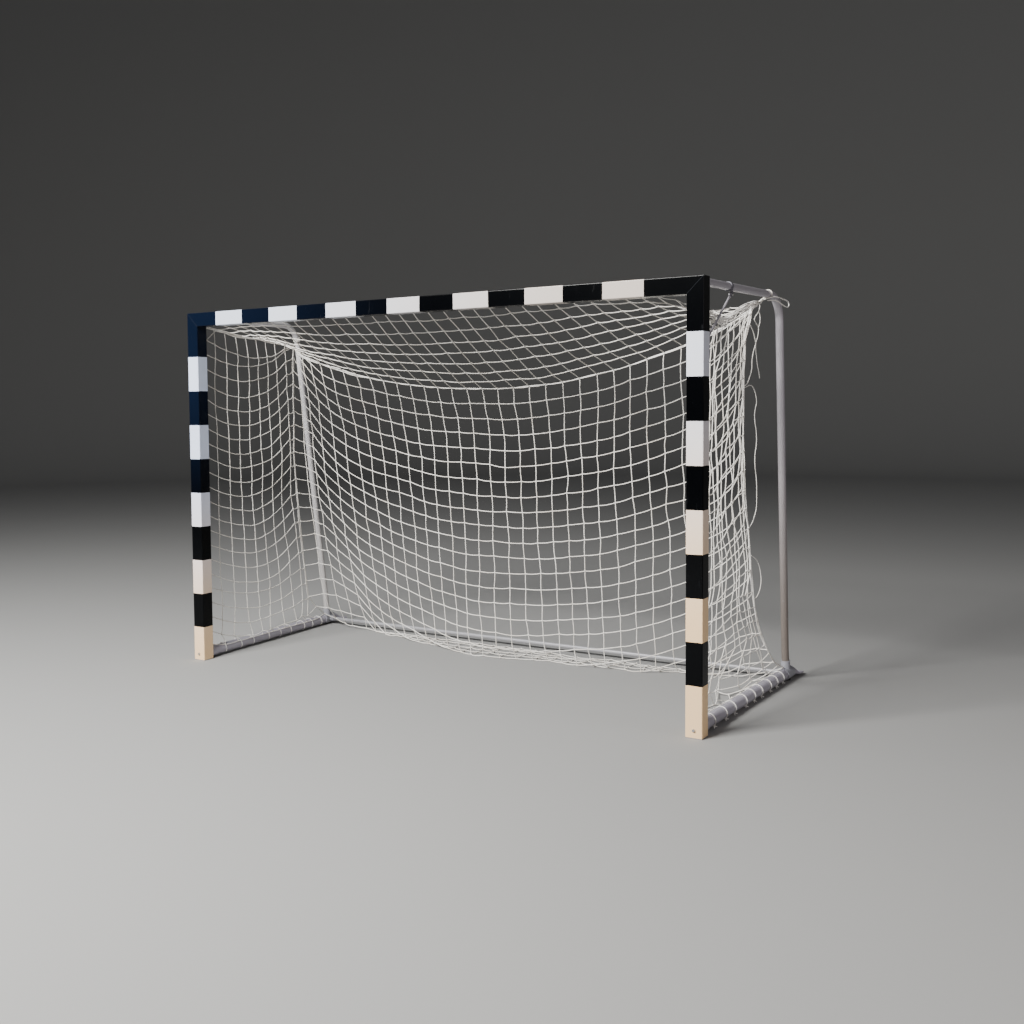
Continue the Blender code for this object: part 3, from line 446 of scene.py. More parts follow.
# %% Cordage
class Cordage:
    def __init__(self, name):
        self.name = name
        self.points, self.faces, self.uvs = [], [], []
        self.count = 0
        self.length = 0.0

    def cord(self, line, radius, sides=6):
        line = np.asarray(line, float)
        radius = np.broadcast_to(np.asarray(radius, float), (len(line),))
        tangent, normal, across = frames_along(line)
        turn = np.linspace(0, 2 * math.pi, sides, endpoint=False)
        ring = normal[:, None] * np.cos(turn)[:, None] + across[:, None] * np.sin(turn)[:, None]
        body = line[:, None] + ring * radius[:, None, None]
        along = np.concatenate([[0], np.cumsum(np.linalg.norm(np.diff(line, axis=0), axis=1))])
        start = self.count
        self.points.append(body.reshape(-1, 3))
        tips = tangent[[0, -1]] * radius[[0, -1]][:, None] * [[0.5], [-0.5]]
        self.points.append(line[[0, -1]] - tips)
        for n in range(len(line) - 1):
            for k in range(sides):
                a, b = start + n * sides + k, start + n * sides + (k + 1) % sides
                self.faces.append((a, b, b + sides, a + sides))
                u, w = k / sides, (k + 1) / sides
                self.uvs += [(u, along[n]), (w, along[n]), (w, along[n + 1]), (u, along[n + 1])]
        near, far = start + len(line) * sides, start + len(line) * sides + 1
        last = start + (len(line) - 1) * sides
        for k in range(sides):
            self.faces.append((near, start + (k + 1) % sides, start + k))
            self.faces.append((far, last + k, last + (k + 1) % sides))
            self.uvs += [(0.5, 0)] * 3 + [(0.5, along[-1])] * 3
        self.count += len(line) * sides + 2
        self.length += along[-1]

    def knot(self, centre, size, turn):
        lump = np.array(KNOT_POINTS) * size
        c, s = math.cos(turn), math.sin(turn)
        spun = lump @ np.array([[c, s, 0], [-s, c, 0], [0, 0, 1]])
        self.points.append(spun + np.asarray(centre))
        for face in KNOT_FACES:
            self.faces.append(tuple(self.count + n for n in face))
            self.uvs += [(0.5 + lump[n][0] * 20, lump[n][2] * 3) for n in face]
        self.count += len(lump)

    def piece(self, material):
        mesh = bpy.data.meshes.new(self.name)
        mesh.from_pydata(np.vstack(self.points).tolist(), [], self.faces)
        layer = mesh.uv_layers.new(name="cord_metres")
        layer.data.foreach_set("uv", np.array(self.uvs, float).ravel())
        mesh.shade_smooth()
        mesh.materials.append(material)
        made = bpy.data.objects.new(self.name, mesh)
        bpy.context.collection.objects.link(made)
        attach(made, "root")
        triangles = sum(len(face) - 2 for face in self.faces)
        print(self.name, "cord", round(self.length, 1), "m, triangles", triangles)
        return made


print("sides of a cord:", Cordage.cord.__defaults__[0])

# %% [markdown]
# A knot of the net is a small lump, wider than the cord and a little turned. There are more than a
# thousand of them, so it is one low ball, pulled out of round in edit mode, and its few points are
# copied into the nets.

# %% Knot
bpy.ops.object.select_all(action="DESELECT")
bpy.ops.mesh.primitive_ico_sphere_add(subdivisions=1, radius=1)
knot_start = bpy.context.active_object
bpy.ops.object.mode_set(mode="EDIT")
bpy.ops.mesh.select_all(action="SELECT")
bpy.ops.transform.resize(value=(1.15, 0.85, 1.3))
bpy.ops.transform.rotate(value=math.radians(35), orient_axis="Y", center_override=(0, 0, 0))
bpy.ops.object.mode_set(mode="OBJECT")
KNOT_POINTS = [tuple(v.co) for v in knot_start.data.vertices]
KNOT_FACES = [tuple(p.vertices) for p in knot_start.data.polygons]
bpy.data.objects.remove(knot_start)
print("knot faces:", len(KNOT_FACES))

# %% [markdown]
# The cord is twisted nylon, cream with use. Three strands run round it once in about 20 mm: a wave
# on the UV map gives them as bump and as thin dark valleys, which are painted shade between the
# strands, and noise by place gives the grey of handled stretches.

# %% Cord finish
def cord_finish(name, colour, dusty, lay):
    finish = Finish(name, Roughness=0.78, Sheen_Weight=0.15, Sheen_Roughness=0.5)
    around, along, _ = finish.axes("UV")
    phase = (around * 3 + along / lay) * (2 * math.pi)
    strand = finish.node("Math", {"operation": "SINE"}, {0: phase}) * 0.5 + 0.5
    cloud = finish.fade(finish.noise(7, 4), 0.35, 0.75)
    fuzz = finish.noise(900, 2)
    # Painted shade in the grooves between the strands.
    valley_shade = (1 - strand) ** 3
    base = finish.mix(cloud * 0.7, colour, dusty)
    finish.set(Base_Color=finish.mix(valley_shade * 0.22, base, tuple(c * 0.55 for c in dusty)))
    finish.bump(strand + fuzz * 0.4, 0.5, 0.0006)
    return finish.material


net_cord = cord_finish("net_cord", (0.88, 0.86, 0.81), (0.74, 0.68, 0.60), 0.007)
lace_cord = cord_finish("lace_cord", (0.90, 0.89, 0.86), (0.80, 0.76, 0.69), 0.005)
print("cord finishes:", net_cord.name, lace_cord.name)

# %% [markdown]
# ## The lines that hold the net
#
# A net is hung on its edges: the crossbar and the posts in front, the rails below, and two upper
# rear corners that are tied to the bows. Between them it sags. The model's plain net hangs on lines
# like these, so its measures are repeated here. Where a line has a shape of its own, it is a row of
# measured places, with a straight line from each to the next. Side -1 is the left and 1 the right.
# Depths count from the front of the mouth.

# %% Measures
MIDDLE_DEPTH = 0.7432
CORD = 0.0051
POST_X = 1.54
BASE_DEPTH = 1.31
REAR_WIDENING = 0.05
RAIL_HEIGHT = 0.038
RAIL_RADIUS = 0.029
CLIP_DEPTH = 0.0893
NET_REAR = 1.268
NET_FOOT = 0.0757
ARM_START = 0.0856
ARM_HEIGHT = 2.061
ARM_REAR = 1.04
BOW_SPLAY = 0.034
SPLAY_START = 0.30
GATHER_X, GATHER_DEPTH = 1.505, 0.94
GATHER_HEIGHT = {-1: 1.920, 1: 2.025}
CORNER_HEIGHTS = {
    -1: (0.0757, 0.20, 0.60, 0.94, 1.20, 1.40, 1.60, 1.86, 1.920),
    1: (0.0757, 0.084, 0.095, 0.138, 0.186, 0.223, 0.266, 0.321, 0.380, 0.436, 0.491, 0.555, 0.706,
        0.834, 1.021, 1.226, 1.429, 1.629, 1.829, 1.971, 2.025),
}
CORNER_DEPTHS = {
    -1: (1.268, 1.08, 0.980, 0.92, 0.888, 0.895, 0.902, 0.920, 0.94),
    1: (1.268, 1.220, 1.181, 1.126, 1.072, 1.022, 0.978, 0.949, 0.923, 0.900, 0.882, 0.870, 0.863,
        0.850, 0.818, 0.800, 0.778, 0.768, 0.772, 0.812, 0.94),
}
FOLD_MIDDLE = 1.615
FOLD_POWER = {-1: 2.3, 1: 2.0}
ROPE_DEPTHS = (CLIP_DEPTH, 0.13, 0.21, 0.30, 0.37, 0.45, 0.53, 0.61, 0.70, 0.79, 0.87, GATHER_DEPTH)
ROPE_HEIGHTS = {
    -1: (2.003, 1.997, 1.989, 1.977, 1.967, 1.958, 1.955, 1.952, 1.943, 1.932, 1.925, 1.920),
    1: (1.950, 1.930, 1.908, 1.899, 1.903, 1.919, 1.940, 1.963, 1.987, 2.006, 2.018, 2.025),
}
SIDE_WORDS = ((-1, "left"), (1, "right"))
chance = np.random.default_rng(7)
print("height left to hang in:", round(FOLD_MIDDLE, 2), "to", GATHER_HEIGHT[1], "m")

# %% [markdown]
# The lines as functions. `seat` spreads them to the rear with the floor frame, which is wider there,
# and moves them to the model's middle.

# %% Lines of the net
def blend(a, b, t):
    t = np.asarray(t, float)
    return np.asarray(a) * (1 - t[..., None]) + np.asarray(b) * t[..., None]


def seat(points):
    points = np.array(points, float)
    beyond = np.clip(points[..., 1] - ARM_START, 0, None)
    points[..., 0] *= 1 + REAR_WIDENING / POST_X / (BASE_DEPTH - ARM_START) * beyond
    points[..., 1] -= MIDDLE_DEPTH
    return points


def on_bow(side, depth, height):
    upper = (height - SPLAY_START) / (ARM_HEIGHT - SPLAY_START)
    rate = REAR_WIDENING / (BASE_DEPTH - ARM_START) + BOW_SPLAY / (ARM_REAR - ARM_START) * upper
    return np.array([side * (POST_X + rate * (depth - ARM_START)), depth - MIDDLE_DEPTH, height])


def gather(side):
    return np.array([side * GATHER_X, GATHER_DEPTH, GATHER_HEIGHT[side]])


def forward_bow(side, t):
    """How far a corner of the net is pulled forward of the straight line from its tie to its foot."""
    t = np.asarray(t, float)
    height = NET_FOOT + (GATHER_HEIGHT[side] - NET_FOOT) * t
    straight = NET_REAR + (GATHER_DEPTH - NET_REAR) * t
    return straight - np.interp(height, CORNER_HEIGHTS[side], CORNER_DEPTHS[side])


def side_top(side, t):
    t = np.asarray(t, float)
    line = blend(np.array([side * POST_X, CLIP_DEPTH, 0]), gather(side), t)
    line[..., 2] = np.interp(line[..., 1], ROPE_DEPTHS, ROPE_HEIGHTS[side])
    return line


def fold_height(x):
    side = np.where(x < 0, -1, 1)
    rise = np.where(side < 0, GATHER_HEIGHT[-1], GATHER_HEIGHT[1]) - FOLD_MIDDLE
    power = np.where(side < 0, FOLD_POWER[-1], FOLD_POWER[1])
    return FOLD_MIDDLE + rise * np.abs(x / GATHER_X) ** power


print("gathered corners:", gather(-1), gather(1))

# %% [markdown]
# ## The back of the net
#
# The back panel hangs from the fold, a sagging line between the two tied corners. It has as many
# rows in its middle as at its corners, but less height to hang in, so four or five of them end up
# on the floor. Each column of knots is set out from the fold down, at equal steps of cord, along
# its own curve: so the rows bend by themselves, high at the corners and low in the middle. A cloth
# simulation would want a closed sheet, which a net isn't, and would slide off the picture. The
# spans between the knots sag and sway a little, and most of all where they lie slack on the floor.

# %% Panel helpers
STEP = 0.0915
ROWS = 22
COLUMNS = 33
LYING = 0.03
LYING_HEIGHT = 0.005
LOWEST_KNOT = 0.0058
ROW_DROOP = 0.006
SWAY = 0.0022
FLOOR_SWAY = 5
SPAN_PIECES = 4


def wobble(shape, size, seed):
    local = np.random.default_rng(seed)
    rough = local.normal(size=(*shape, 3))
    soft = rough.copy()
    for _ in range(2):
        soft[1:-1] = (soft[:-2] + soft[2:] + 2 * soft[1:-1]) / 4
        soft[:, 1:-1] = (soft[:, :-2] + soft[:, 2:] + 2 * soft[:, 1:-1]) / 4
    return (soft + 0.25 * rough) * size


def along_curve(curve, marks):
    lengths = np.concatenate([[0], np.cumsum(np.linalg.norm(np.diff(curve, axis=0), axis=1))])
    return np.stack([np.interp(marks, lengths, curve[:, k]) for k in range(3)], -1), lengths[-1]


def hang(knots, droop, seed):
    """One cord through a row of knots, each span sagging and swaying by itself."""
    local = np.random.default_rng(seed)
    line = [knots[0]]
    for a, b in zip(knots[:-1], knots[1:]):
        span = np.linalg.norm(b - a)
        loose = np.clip(1.6 - span / STEP, 0.35, 1.5)
        way = np.array([local.normal() * SWAY, local.normal() * SWAY, -droop * (0.4 + local.random())])
        if max(a[2], b[2]) < LYING:
            way[:2] = way[0] * FLOOR_SWAY, -abs(way[1]) * FLOOR_SWAY
        for t in np.arange(1, SPAN_PIECES) / SPAN_PIECES:
            line.append(a * (1 - t) + b * t + way * loose * 4 * t * (1 - t))
        line.append(b)
    line = np.array(line)
    line[:, 2] = np.maximum(line[:, 2], CORD / 2 + 0.0004)
    return line


def net_panel(name, knots, replaced, seed, shared_row=0, shared_column=0):
    """Rows, columns and knots. The last row or column is left out where a neighbour has it."""
    net = Cordage(name)
    rows, columns = knots.shape[0] - shared_row, knots.shape[1] - shared_column
    for r in range(rows):
        net.cord(hang(knots[r], ROW_DROOP, seed * 1000 + r), CORD / 2)
    for c in range(columns):
        net.cord(hang(knots[:, c], 0.0, seed * 2000 + c), CORD / 2)
    local = np.random.default_rng(seed)
    for r in range(rows):
        for c in range(columns):
            net.knot(knots[r, c], CORD * (0.80 + 0.2 * local.random()), local.random() * 6)
    made = net.piece(net_cord)
    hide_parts(replaced)


# %% [markdown]
# The front edge of what lies on the floor is an uneven line: near the middle it comes forward, and
# towards the corners it goes back to the rear tube. The columns take their foot from the few places
# below. Across the panel, u runs from 0 at the left edge to 1 at the right, and `outward` from -1 to
# 1. Near the edges the columns crowd together and follow the pulled corners, and their first rows
# are bunched in the fold.

# %% Back panel
TOUCH_X = (-1.54, -1.13, -0.92, -0.78, -0.66, -0.44, -0.12, 0.0, 0.11, 0.36, 0.62, 0.84, 1.04, 1.30, 1.54)
TOUCH_DEPTH = (NET_REAR, 1.235, 1.18, 1.125, 1.09, 1.01, 0.945, 0.955, 0.99, 1.03, 1.02, 1.08, 1.165,
               1.235, NET_REAR)
HEM_HEIGHT = 0.006
HEM_LIFT_POWER = 8
CURVE_POINTS = 70
LEAN_SHARES = (0, 0.06, 0.15, 0.42, 0.55, 0.7, 1)
LEANS = (0, 0.05, 0.095, 0.09, 0.05, 0, 0)
LEAN_FADE = 0.275
FLARE_POWER = 1.6
CORNER_REACH = {-1: 0.04, 1: 0.05}
CROWD = {-1: 0.09, 1: 0.05}
CROWD_REACH = 0.1
EDGE_BULGE = 0.03
STEP_OUTWARD = (-1, -0.86, -0.67, -0.2, 0.6, 1)
STEPS = (0.0872, 0.079, 0.0885, STEP, STEP, 0.0905)
BUNCHED = {-1: 0.185, 1: 0.075}
BUNCHED_REACH = {-1: 0.085, 1: 0.06}
REAR_OF_LYING = 1.235
REAR_LIMIT = 1.245


def crowding(side, share):
    return CROWD[side] * (share / CROWD_REACH) * math.exp(1 - share / CROWD_REACH)


def back_curve(u):
    """The way of one column from the fold to the floor, and the depth where it touches down."""
    rise = np.linspace(1, 0, CURVE_POINTS)
    outward = 2 * u - 1
    middle = 4 * u * (1 - u)
    even_x = GATHER_X * outward + 0.02 * math.sin(math.pi * u)
    lean = np.interp(u, LEAN_SHARES, LEANS)
    top_z = float(fold_height(even_x - lean))
    foot_x = outward * POST_X + 0.04 * middle
    foot_y = np.interp(foot_x, TOUCH_X, TOUCH_DEPTH)
    foot_z = HEM_HEIGHT + (NET_FOOT - HEM_HEIGHT) * abs(outward) ** HEM_LIFT_POWER
    z = foot_z + (top_z - foot_z) * rise
    x = even_x + (foot_x - even_x) * (1 - rise) ** FLARE_POWER - lean * np.exp((z - top_z) / LEAN_FADE)
    y = foot_y + (GATHER_DEPTH - foot_y) * rise ** (1 - 0.2 * min(1, 3 * middle))
    y -= forward_bow(-1, rise) * (0.9 * math.exp(-u / CORNER_REACH[-1]) + 0.1 * (1 - u))
    y -= forward_bow(1, rise) * (0.9 * math.exp((u - 1) / CORNER_REACH[1]) + 0.1 * u)
    x -= (crowding(-1, u) - crowding(1, 1 - u)) * (1 - (1 - rise) ** 3)
    x -= outward * abs(outward) ** 5 * EDGE_BULGE * np.sin(math.pi * rise)
    return np.stack([x, y, z], -1), foot_y


def back_knots():
    knots = np.zeros((ROWS + 1, COLUMNS + 1, 3))
    for c in range(COLUMNS + 1):
        u = c / COLUMNS
        curve, foot_y = back_curve(u)
        reach = along_curve(curve, 0)[1]
        step = np.interp(2 * u - 1, STEP_OUTWARD, STEPS)
        bunched = (BUNCHED[-1] * math.exp(-(u / BUNCHED_REACH[-1]) ** 2)
                   + BUNCHED[1] * math.exp(-((1 - u) / BUNCHED_REACH[1]) ** 2))
        marks = np.maximum(0, np.arange(ROWS + 1) * step - bunched)
        marks = marks + max(0.0, reach - marks[-1]) * (np.arange(ROWS + 1) / ROWS) ** 4
        spare = max(0.0, marks[-1] - reach)
        hanging, _ = along_curve(curve, np.minimum(marks, reach))
        if c in (0, COLUMNS):
            hanging, _ = along_curve(curve, marks * reach / marks[-1])
        elif spare > 0:
            room = min(spare, REAR_OF_LYING - foot_y)
            lying = np.clip(marks - reach, 0, None) * max(room, 0.0) / spare
            hanging[:, 1] += lying
            hanging[:, 2] = np.where(lying > 0, LYING_HEIGHT, hanging[:, 2])
        knots[:, c] = hanging
    return knots


back = back_knots()
shake = wobble(back.shape[:2], 0.009, 3)
on_floor = (back[..., 2] < LYING)[..., None]
shake = np.where(on_floor, wobble(back.shape[:2], 0.022, 4) * [1, 1.1, 0.2], shake)
back[1:, 1:-1] += shake[1:, 1:-1]
back[..., 2] = np.maximum(back[..., 2], LOWEST_KNOT)
back[..., 1] = np.where(back[..., 2] < 0.05, np.minimum(back[..., 1], REAR_LIMIT), back[..., 1])
net_panel("back_net_cords", seat(back), "back_net", 3)

# %% [markdown]
# ## The top of the net
#
# The top panel runs from the clips of the crossbar to the fold. It hangs slack, so its middle dips,
# and near the gathered corners its columns crowd together.

# %% Top panel
TOP_ROWS = 8
TOP_SAG = 0.018
BAR_EDGE_HEIGHT = 2.034


def top_knots():
    knots = np.zeros((TOP_ROWS + 1, COLUMNS + 1, 3))
    depth = np.linspace(0, 1, TOP_ROWS + 1)
    for c in range(COLUMNS + 1):
        u = c / COLUMNS
        bar = np.array([GATHER_X * (2 * u - 1), CLIP_DEPTH, BAR_EDGE_HEIGHT])
        line = blend(bar, back[0, c], depth)
        line[:, 2] -= TOP_SAG * math.sin(math.pi * u) * 4 * depth * (1 - depth)
        for side, near in ((-1, np.exp(-u / 0.05)), (1, np.exp((u - 1) / 0.05))):
            line[:, 2] += (side_top(side, depth)[:, 2] - line[:, 2]) * near
        knots[:, c] = line
    return knots


top = top_knots()
top[1:-1, 1:-1] += wobble(top.shape[:2], 0.008, 5)[1:-1, 1:-1]
net_panel("top_net_cords", seat(top), "top_net", 5, shared_row=1)

# %% [markdown]
# ## The sides of the net
#
# Each side panel goes from the post back to the corner of the net. The corner bows forward between
# its foot and its tie, so the panel is narrower there and its last columns run together. At the
# bottom it isn't stretched: the last row is laced to the rail, and the rows above it fall inside the
# rail. On the right they have three rows more and lie on the floor, and next to the corner they
# spread like a fan.

# %% Side measures
SIDE_COLUMNS = 10
PITCH_HEIGHTS = (0.1, 0.35, 0.9, 1.9)
SIDE_PITCH = {-1: (0.118, 0.112, 0.095, 0.093), 1: (0.118, 0.098, 0.079, 0.082)}
CROWDING = 0.012
POST_ROWS = {-1: (2.0265, 0.0885), 1: (1.945, 0.0857)}
DIP_SHARES = {-1: (0, 0.10, 0.20, 0.33, 0.456, 0.56, 0.65, 0.77, 0.864, 0.94, 1),
              1: (0, 0.08, 0.20, 0.32, 0.45, 0.6, 0.75, 0.88, 1)}
DIPS = {-1: (0, 0.045, 0.083, 0.112, 0.129, 0.125, 0.115, 0.087, 0.032, 0.006, 0),
        1: (0, 0.020, 0.040, 0.052, 0.050, 0.038, 0.016, 0, 0)}
SIDE_PULL = 0.02
SIDE_LEAN = {-1: 0.0, 1: 0.075}
LEAN_HEIGHTS = (0.15, 0.7)
FOOT_PACKING = 0.0015
FLOOR_ROWS = {-1: 0, 1: 3}
CORNER_FOOT = 6
FAN_ROWS = 8
DRAPE_START = {-1: 0.20, 1: 0.27}
DRAPE_FLOOR = {-1: 0.066, 1: LYING_HEIGHT}
RAIL_TIE_PLACE = (POST_X - 0.026, 0.060)


def corner_column(side):
    """The knots of the shared corner, set closer near the foot where the side has more rows."""
    corner = back[:, 0] if side < 0 else back[:, -1]
    foot = corner[-CORNER_FOOT:]
    marks = np.linspace(0, along_curve(foot, 0)[1], CORNER_FOOT + FLOOR_ROWS[side])
    return np.vstack([corner[:-CORNER_FOOT], along_curve(foot, marks)[0]])


def side_knots(side):
    corner = corner_column(side)
    knots = np.zeros((len(corner), SIDE_COLUMNS + 1, 3))
    start, step = POST_ROWS[side]
    for r, end in enumerate(corner):
        high = max(start - step * r, NET_FOOT - FOOT_PACKING * r) if r else ROPE_HEIGHTS[side][0]
        pitch = np.interp(high, PITCH_HEIGHTS, SIDE_PITCH[side])
        span = end[1] - CLIP_DEPTH
        lean = SIDE_PULL + SIDE_LEAN[side] * float(np.interp(high, LEAN_HEIGHTS, (1, 0)))
        depth_of_dip = (1.0 if high > 0.5 else 0.75) * min(1.0, 0.6 + 0.1 * r)
        for c in range(SIDE_COLUMNS + 1):
            way = min(c * pitch, span * (1 - CROWDING * (SIDE_COLUMNS - c)))
            share = way / span if c < SIDE_COLUMNS else 1.0
            if r == 0:
                knots[r, c] = side_top(side, share)
                continue
            dip = float(np.interp(share, DIP_SHARES[side], DIPS[side])) * depth_of_dip
            x = side * POST_X + (end[0] - side * POST_X) * share - side * lean * math.sin(math.pi * share)
            z = high + (end[2] - high) * share - dip
            knots[r, c] = (x, CLIP_DEPTH + way, z)
    return knots


print("rows of the right side:", len(corner_column(1)) - 1)

# %% [markdown]
# The low rows of a column are set out again on a path that falls inside the rail and climbs back to
# the last tie. On the right it runs along the floor on its way.

# %% Side panels
def inward_reach(side, c):
    """How far inside the rail the slack of a column lies. On the right no two are alike."""
    share = c / SIDE_COLUMNS
    if side < 0:
        return 0.05 * math.sin(math.pi * share) ** 0.8
    return (0.15 + 0.035 * math.sin(2.3 * c)) * math.sin(math.pi * share) ** 0.8


def lay_inside_rail(side, knots):
    for c in range(1, SIDE_COLUMNS):
        low = [r for r in range(1, len(knots)) if knots[r, c, 2] < DRAPE_START[side]]
        if not low:
            continue
        inward = inward_reach(side, c)
        drift = 0.05 * math.cos(1.9 * c)
        floor = DRAPE_FLOOR[side]
        foot = np.array([side * RAIL_TIE_PLACE[0], knots[-1, c, 1], RAIL_TIE_PLACE[1]])
        above = knots[low[0] - 1, c]
        path = smooth_line([above,
                            [side * (POST_X - inward * 0.8), above[1] + drift / 2, above[2] * 0.40],
                            [side * (POST_X - inward * 1.05), foot[1] + drift, floor],
                            [side * (POST_X - inward * 0.62), foot[1] + drift / 2, floor],
                            foot], 0.01)
        whole = along_curve(path, 0)[1]
        marks = whole * np.arange(1, len(low) + 1) / len(low)
        knots[low, c] = along_curve(path, marks)[0]


def fan_to_corner(knots):
    fan = slice(-FAN_ROWS - 1, -1)
    near = SIDE_COLUMNS - 3
    for c in (near + 1, near + 2):
        shares = np.full(FAN_ROWS, (c - near) / 3)
        knots[fan, c] = blend(knots[fan, near], knots[fan, -1], shares)


for side, word in SIDE_WORDS:
    knots = side_knots(side)
    lay_inside_rail(side, knots)
    if side > 0:
        fan_to_corner(knots)
    knots[1:-1, 1:-1] += wobble(knots.shape[:2], 0.010 + 0.003 * side, 11 + side)[1:-1, 1:-1]
    loose = wobble(knots.shape[:2], 0.045, 15 + side) * [1, 1.2, 0.2]
    knots[2:-1, 1:-1] += np.where((knots[..., 2] < LYING)[..., None], loose, 0)[2:-1, 1:-1]
    knots[..., 2] = np.maximum(knots[..., 2], LOWEST_KNOT)
    net_panel(word + "_side_net_cords", seat(knots), word + "_side_net", 20 + side, shared_column=1)

# %% [markdown]
# ## Edge ropes
#
# Along its edges several cords of the net run together, where its outer meshes are pulled shut. A
# bundle of cords that cross each other now and then shows this, and one thick rod doesn't. The
# right side has the thickest one: there three or four rows hang bunched under the arm.

# %% Bundle helpers
BUNDLE_STEP = 0.02


def bundle(cordage, line, cords, spread, seed, radius, turns):
    """Cords that wind round a line. Spread is their distance from it, from its start to its end."""
    local = np.random.default_rng(seed)
    line = smooth_line(line, BUNDLE_STEP)
    _, normal, across = frames_along(line)
    share = np.linspace(0, 1, len(line))
    spread = np.interp(share, np.linspace(0, 1, len(spread)), spread)
    for n in range(cords):
        angle = 2 * math.pi * (n / cords + turns * share * (0.6 + 0.5 * local.random())) + local.random()
        size = spread * (0.55 + 0.45 * np.sin(share * (9 + 5 * local.random()) + local.random() * 6))
        off = normal * (np.cos(angle) * size)[:, None] + across * (np.sin(angle) * size)[:, None]
        cordage.cord(line + off, radius)


def on_side(side, places, inward):
    """Places given as depth and height, set the inward distance inside the plane of a side."""
    inward = np.broadcast_to(inward, len(places))
    return seat([(side * (POST_X - near), depth, height) for near, (depth, height) in zip(inward, places)])


print("bundle helpers ready")

# %% [markdown]
# Each row below is one bundle: its line, the number of cords, their spread, the seed, the radius of a
# cord and the turns. First come the right top edge with its cone up to the tie and the slack rows
# under it, then the left top edge, the right corner and the fold.

# %% Edge ropes
THIN, THICK = CORD / 2, 0.0029
right_rope = seat(side_top(1, np.linspace(0, 1, 16)))
right_tie = on_bow(1, 0.885, ARM_HEIGHT) - [0.012, 0.006, 0.020]
tie_cone = [right_rope[-3], right_rope[-1], (right_rope[-1] + right_tie) / 2, right_tie]
left_rope = seat(side_top(-1, np.linspace(0, 1, 12)))
right_corner = seat(back[:, -1])
fold = seat(back[0])
BUNDLES = (
    (right_rope, 6, (0.006, 0.024, 0.026, 0.018, 0.014, 0.012, 0.010), 31, THICK, 0.8),
    (tie_cone, 8, (0.012, 0.012, 0.009, 0.006), 35, THICK, 0.3),
    (right_rope[:9] - [0, 0, 0.012], 3, (0.012, 0.034, 0.032, 0.020, 0.010), 33, THIN, 0.9),
    (left_rope, 4, (0.003, 0.008, 0.011, 0.012, 0.010, 0.008), 30, 0.0026, 1.1),
    (right_corner, 2, (0.003, 0.004, 0.004), 42, THIN, 5),
    (right_corner[14:], 2, (0.003, 0.006, 0.006, 0.003), 44, 0.0028, 2.0),
    (right_corner[1:6], 4, (0.008, 0.010, 0.006, 0.003), 43, 0.0027, 0.5),
    (fold, 1, (0.003, 0.004, 0.003), 51, THIN, 8),
    (fold[:9], 3, (0.007, 0.014, 0.012, 0.005), 52, THIN, 0.8),
    (fold[-8:], 3, (0.004, 0.010, 0.012, 0.007), 53, THIN, 0.8),
)
edges = Cordage("edge_ropes")
for row in BUNDLES:
    bundle(edges, *row)
# The edge ropes take the brighter lace cord: painted light on cords that belong to the net.
edges.piece(lace_cord)

# %% [markdown]
# ## Lacing on the rails
#
# The foot of each side panel is tied down with short pieces of white cord. Each goes once over the
# rail, slants a little, and is knotted below, where its two ends stick out. One long spiral would
# be quicker to lace, but the picture shows separate ties.

# %% Rail ties
TIE_DEPTHS = (0.20, 0.343, 0.463, 0.616, 0.738, 0.85, 0.989, 1.085, 1.19)
TIE_START, TIE_END = -0.35, 1.25
TIE_POINTS = 22
LACE = 0.0048


def rail_tie(ties, side, depth):
    turn = np.linspace(TIE_START, TIE_END, TIE_POINTS) * math.pi
    round_it = RAIL_RADIUS + LACE / 2 + 0.0006
    x = side * (POST_X - np.cos(turn) * round_it)
    z = RAIL_HEIGHT + np.sin(turn) * round_it
    slant = 0.022 * np.sin(turn * 0.5 + 0.3) + 0.006 * chance.normal()
    y = depth + 0.012 - slant * np.linspace(0.2, 1, TIE_POINTS)
    ties.cord(seat(np.stack([x, y, z], -1)), LACE / 2)
    return np.array([x[-1], y[-1], z[-1]])


def tie_ends(ties, side, end, turn):
    ties.knot(seat(end), LACE * 1.25, turn)
    for way in (-1, 1):
        tail = [end, end + [side * 0.004, way * 0.008, -0.004],
                end + [side * 0.008, way * 0.016, -0.005 - 0.003 * chance.random()]]
        tail = smooth_line(tail, 0.004)
        tail[:, 2] = np.maximum(tail[:, 2], LACE / 2)
        ties.cord(seat(tail), LACE / 2 * 0.9, 5)


for side, word in SIDE_WORDS:
    ties = Cordage(word + "_rail_ties")
    for n, depth in enumerate(TIE_DEPTHS):
        tie_ends(ties, side, rail_tie(ties, side, depth), n)
    made = ties.piece(lace_cord)
    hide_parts(word + "_lacing")

# %% [markdown]
# ## Ties at the bows
#
# Each gathered corner is pulled up to its bow. On the right one turn goes round the end of the arm,
# and on the left five turns round the bend hold the corner a little lower. Five cords lead from
# either tie down to the corner. A row gives the tie's depth, height, the tube's direction there and
# the turns.

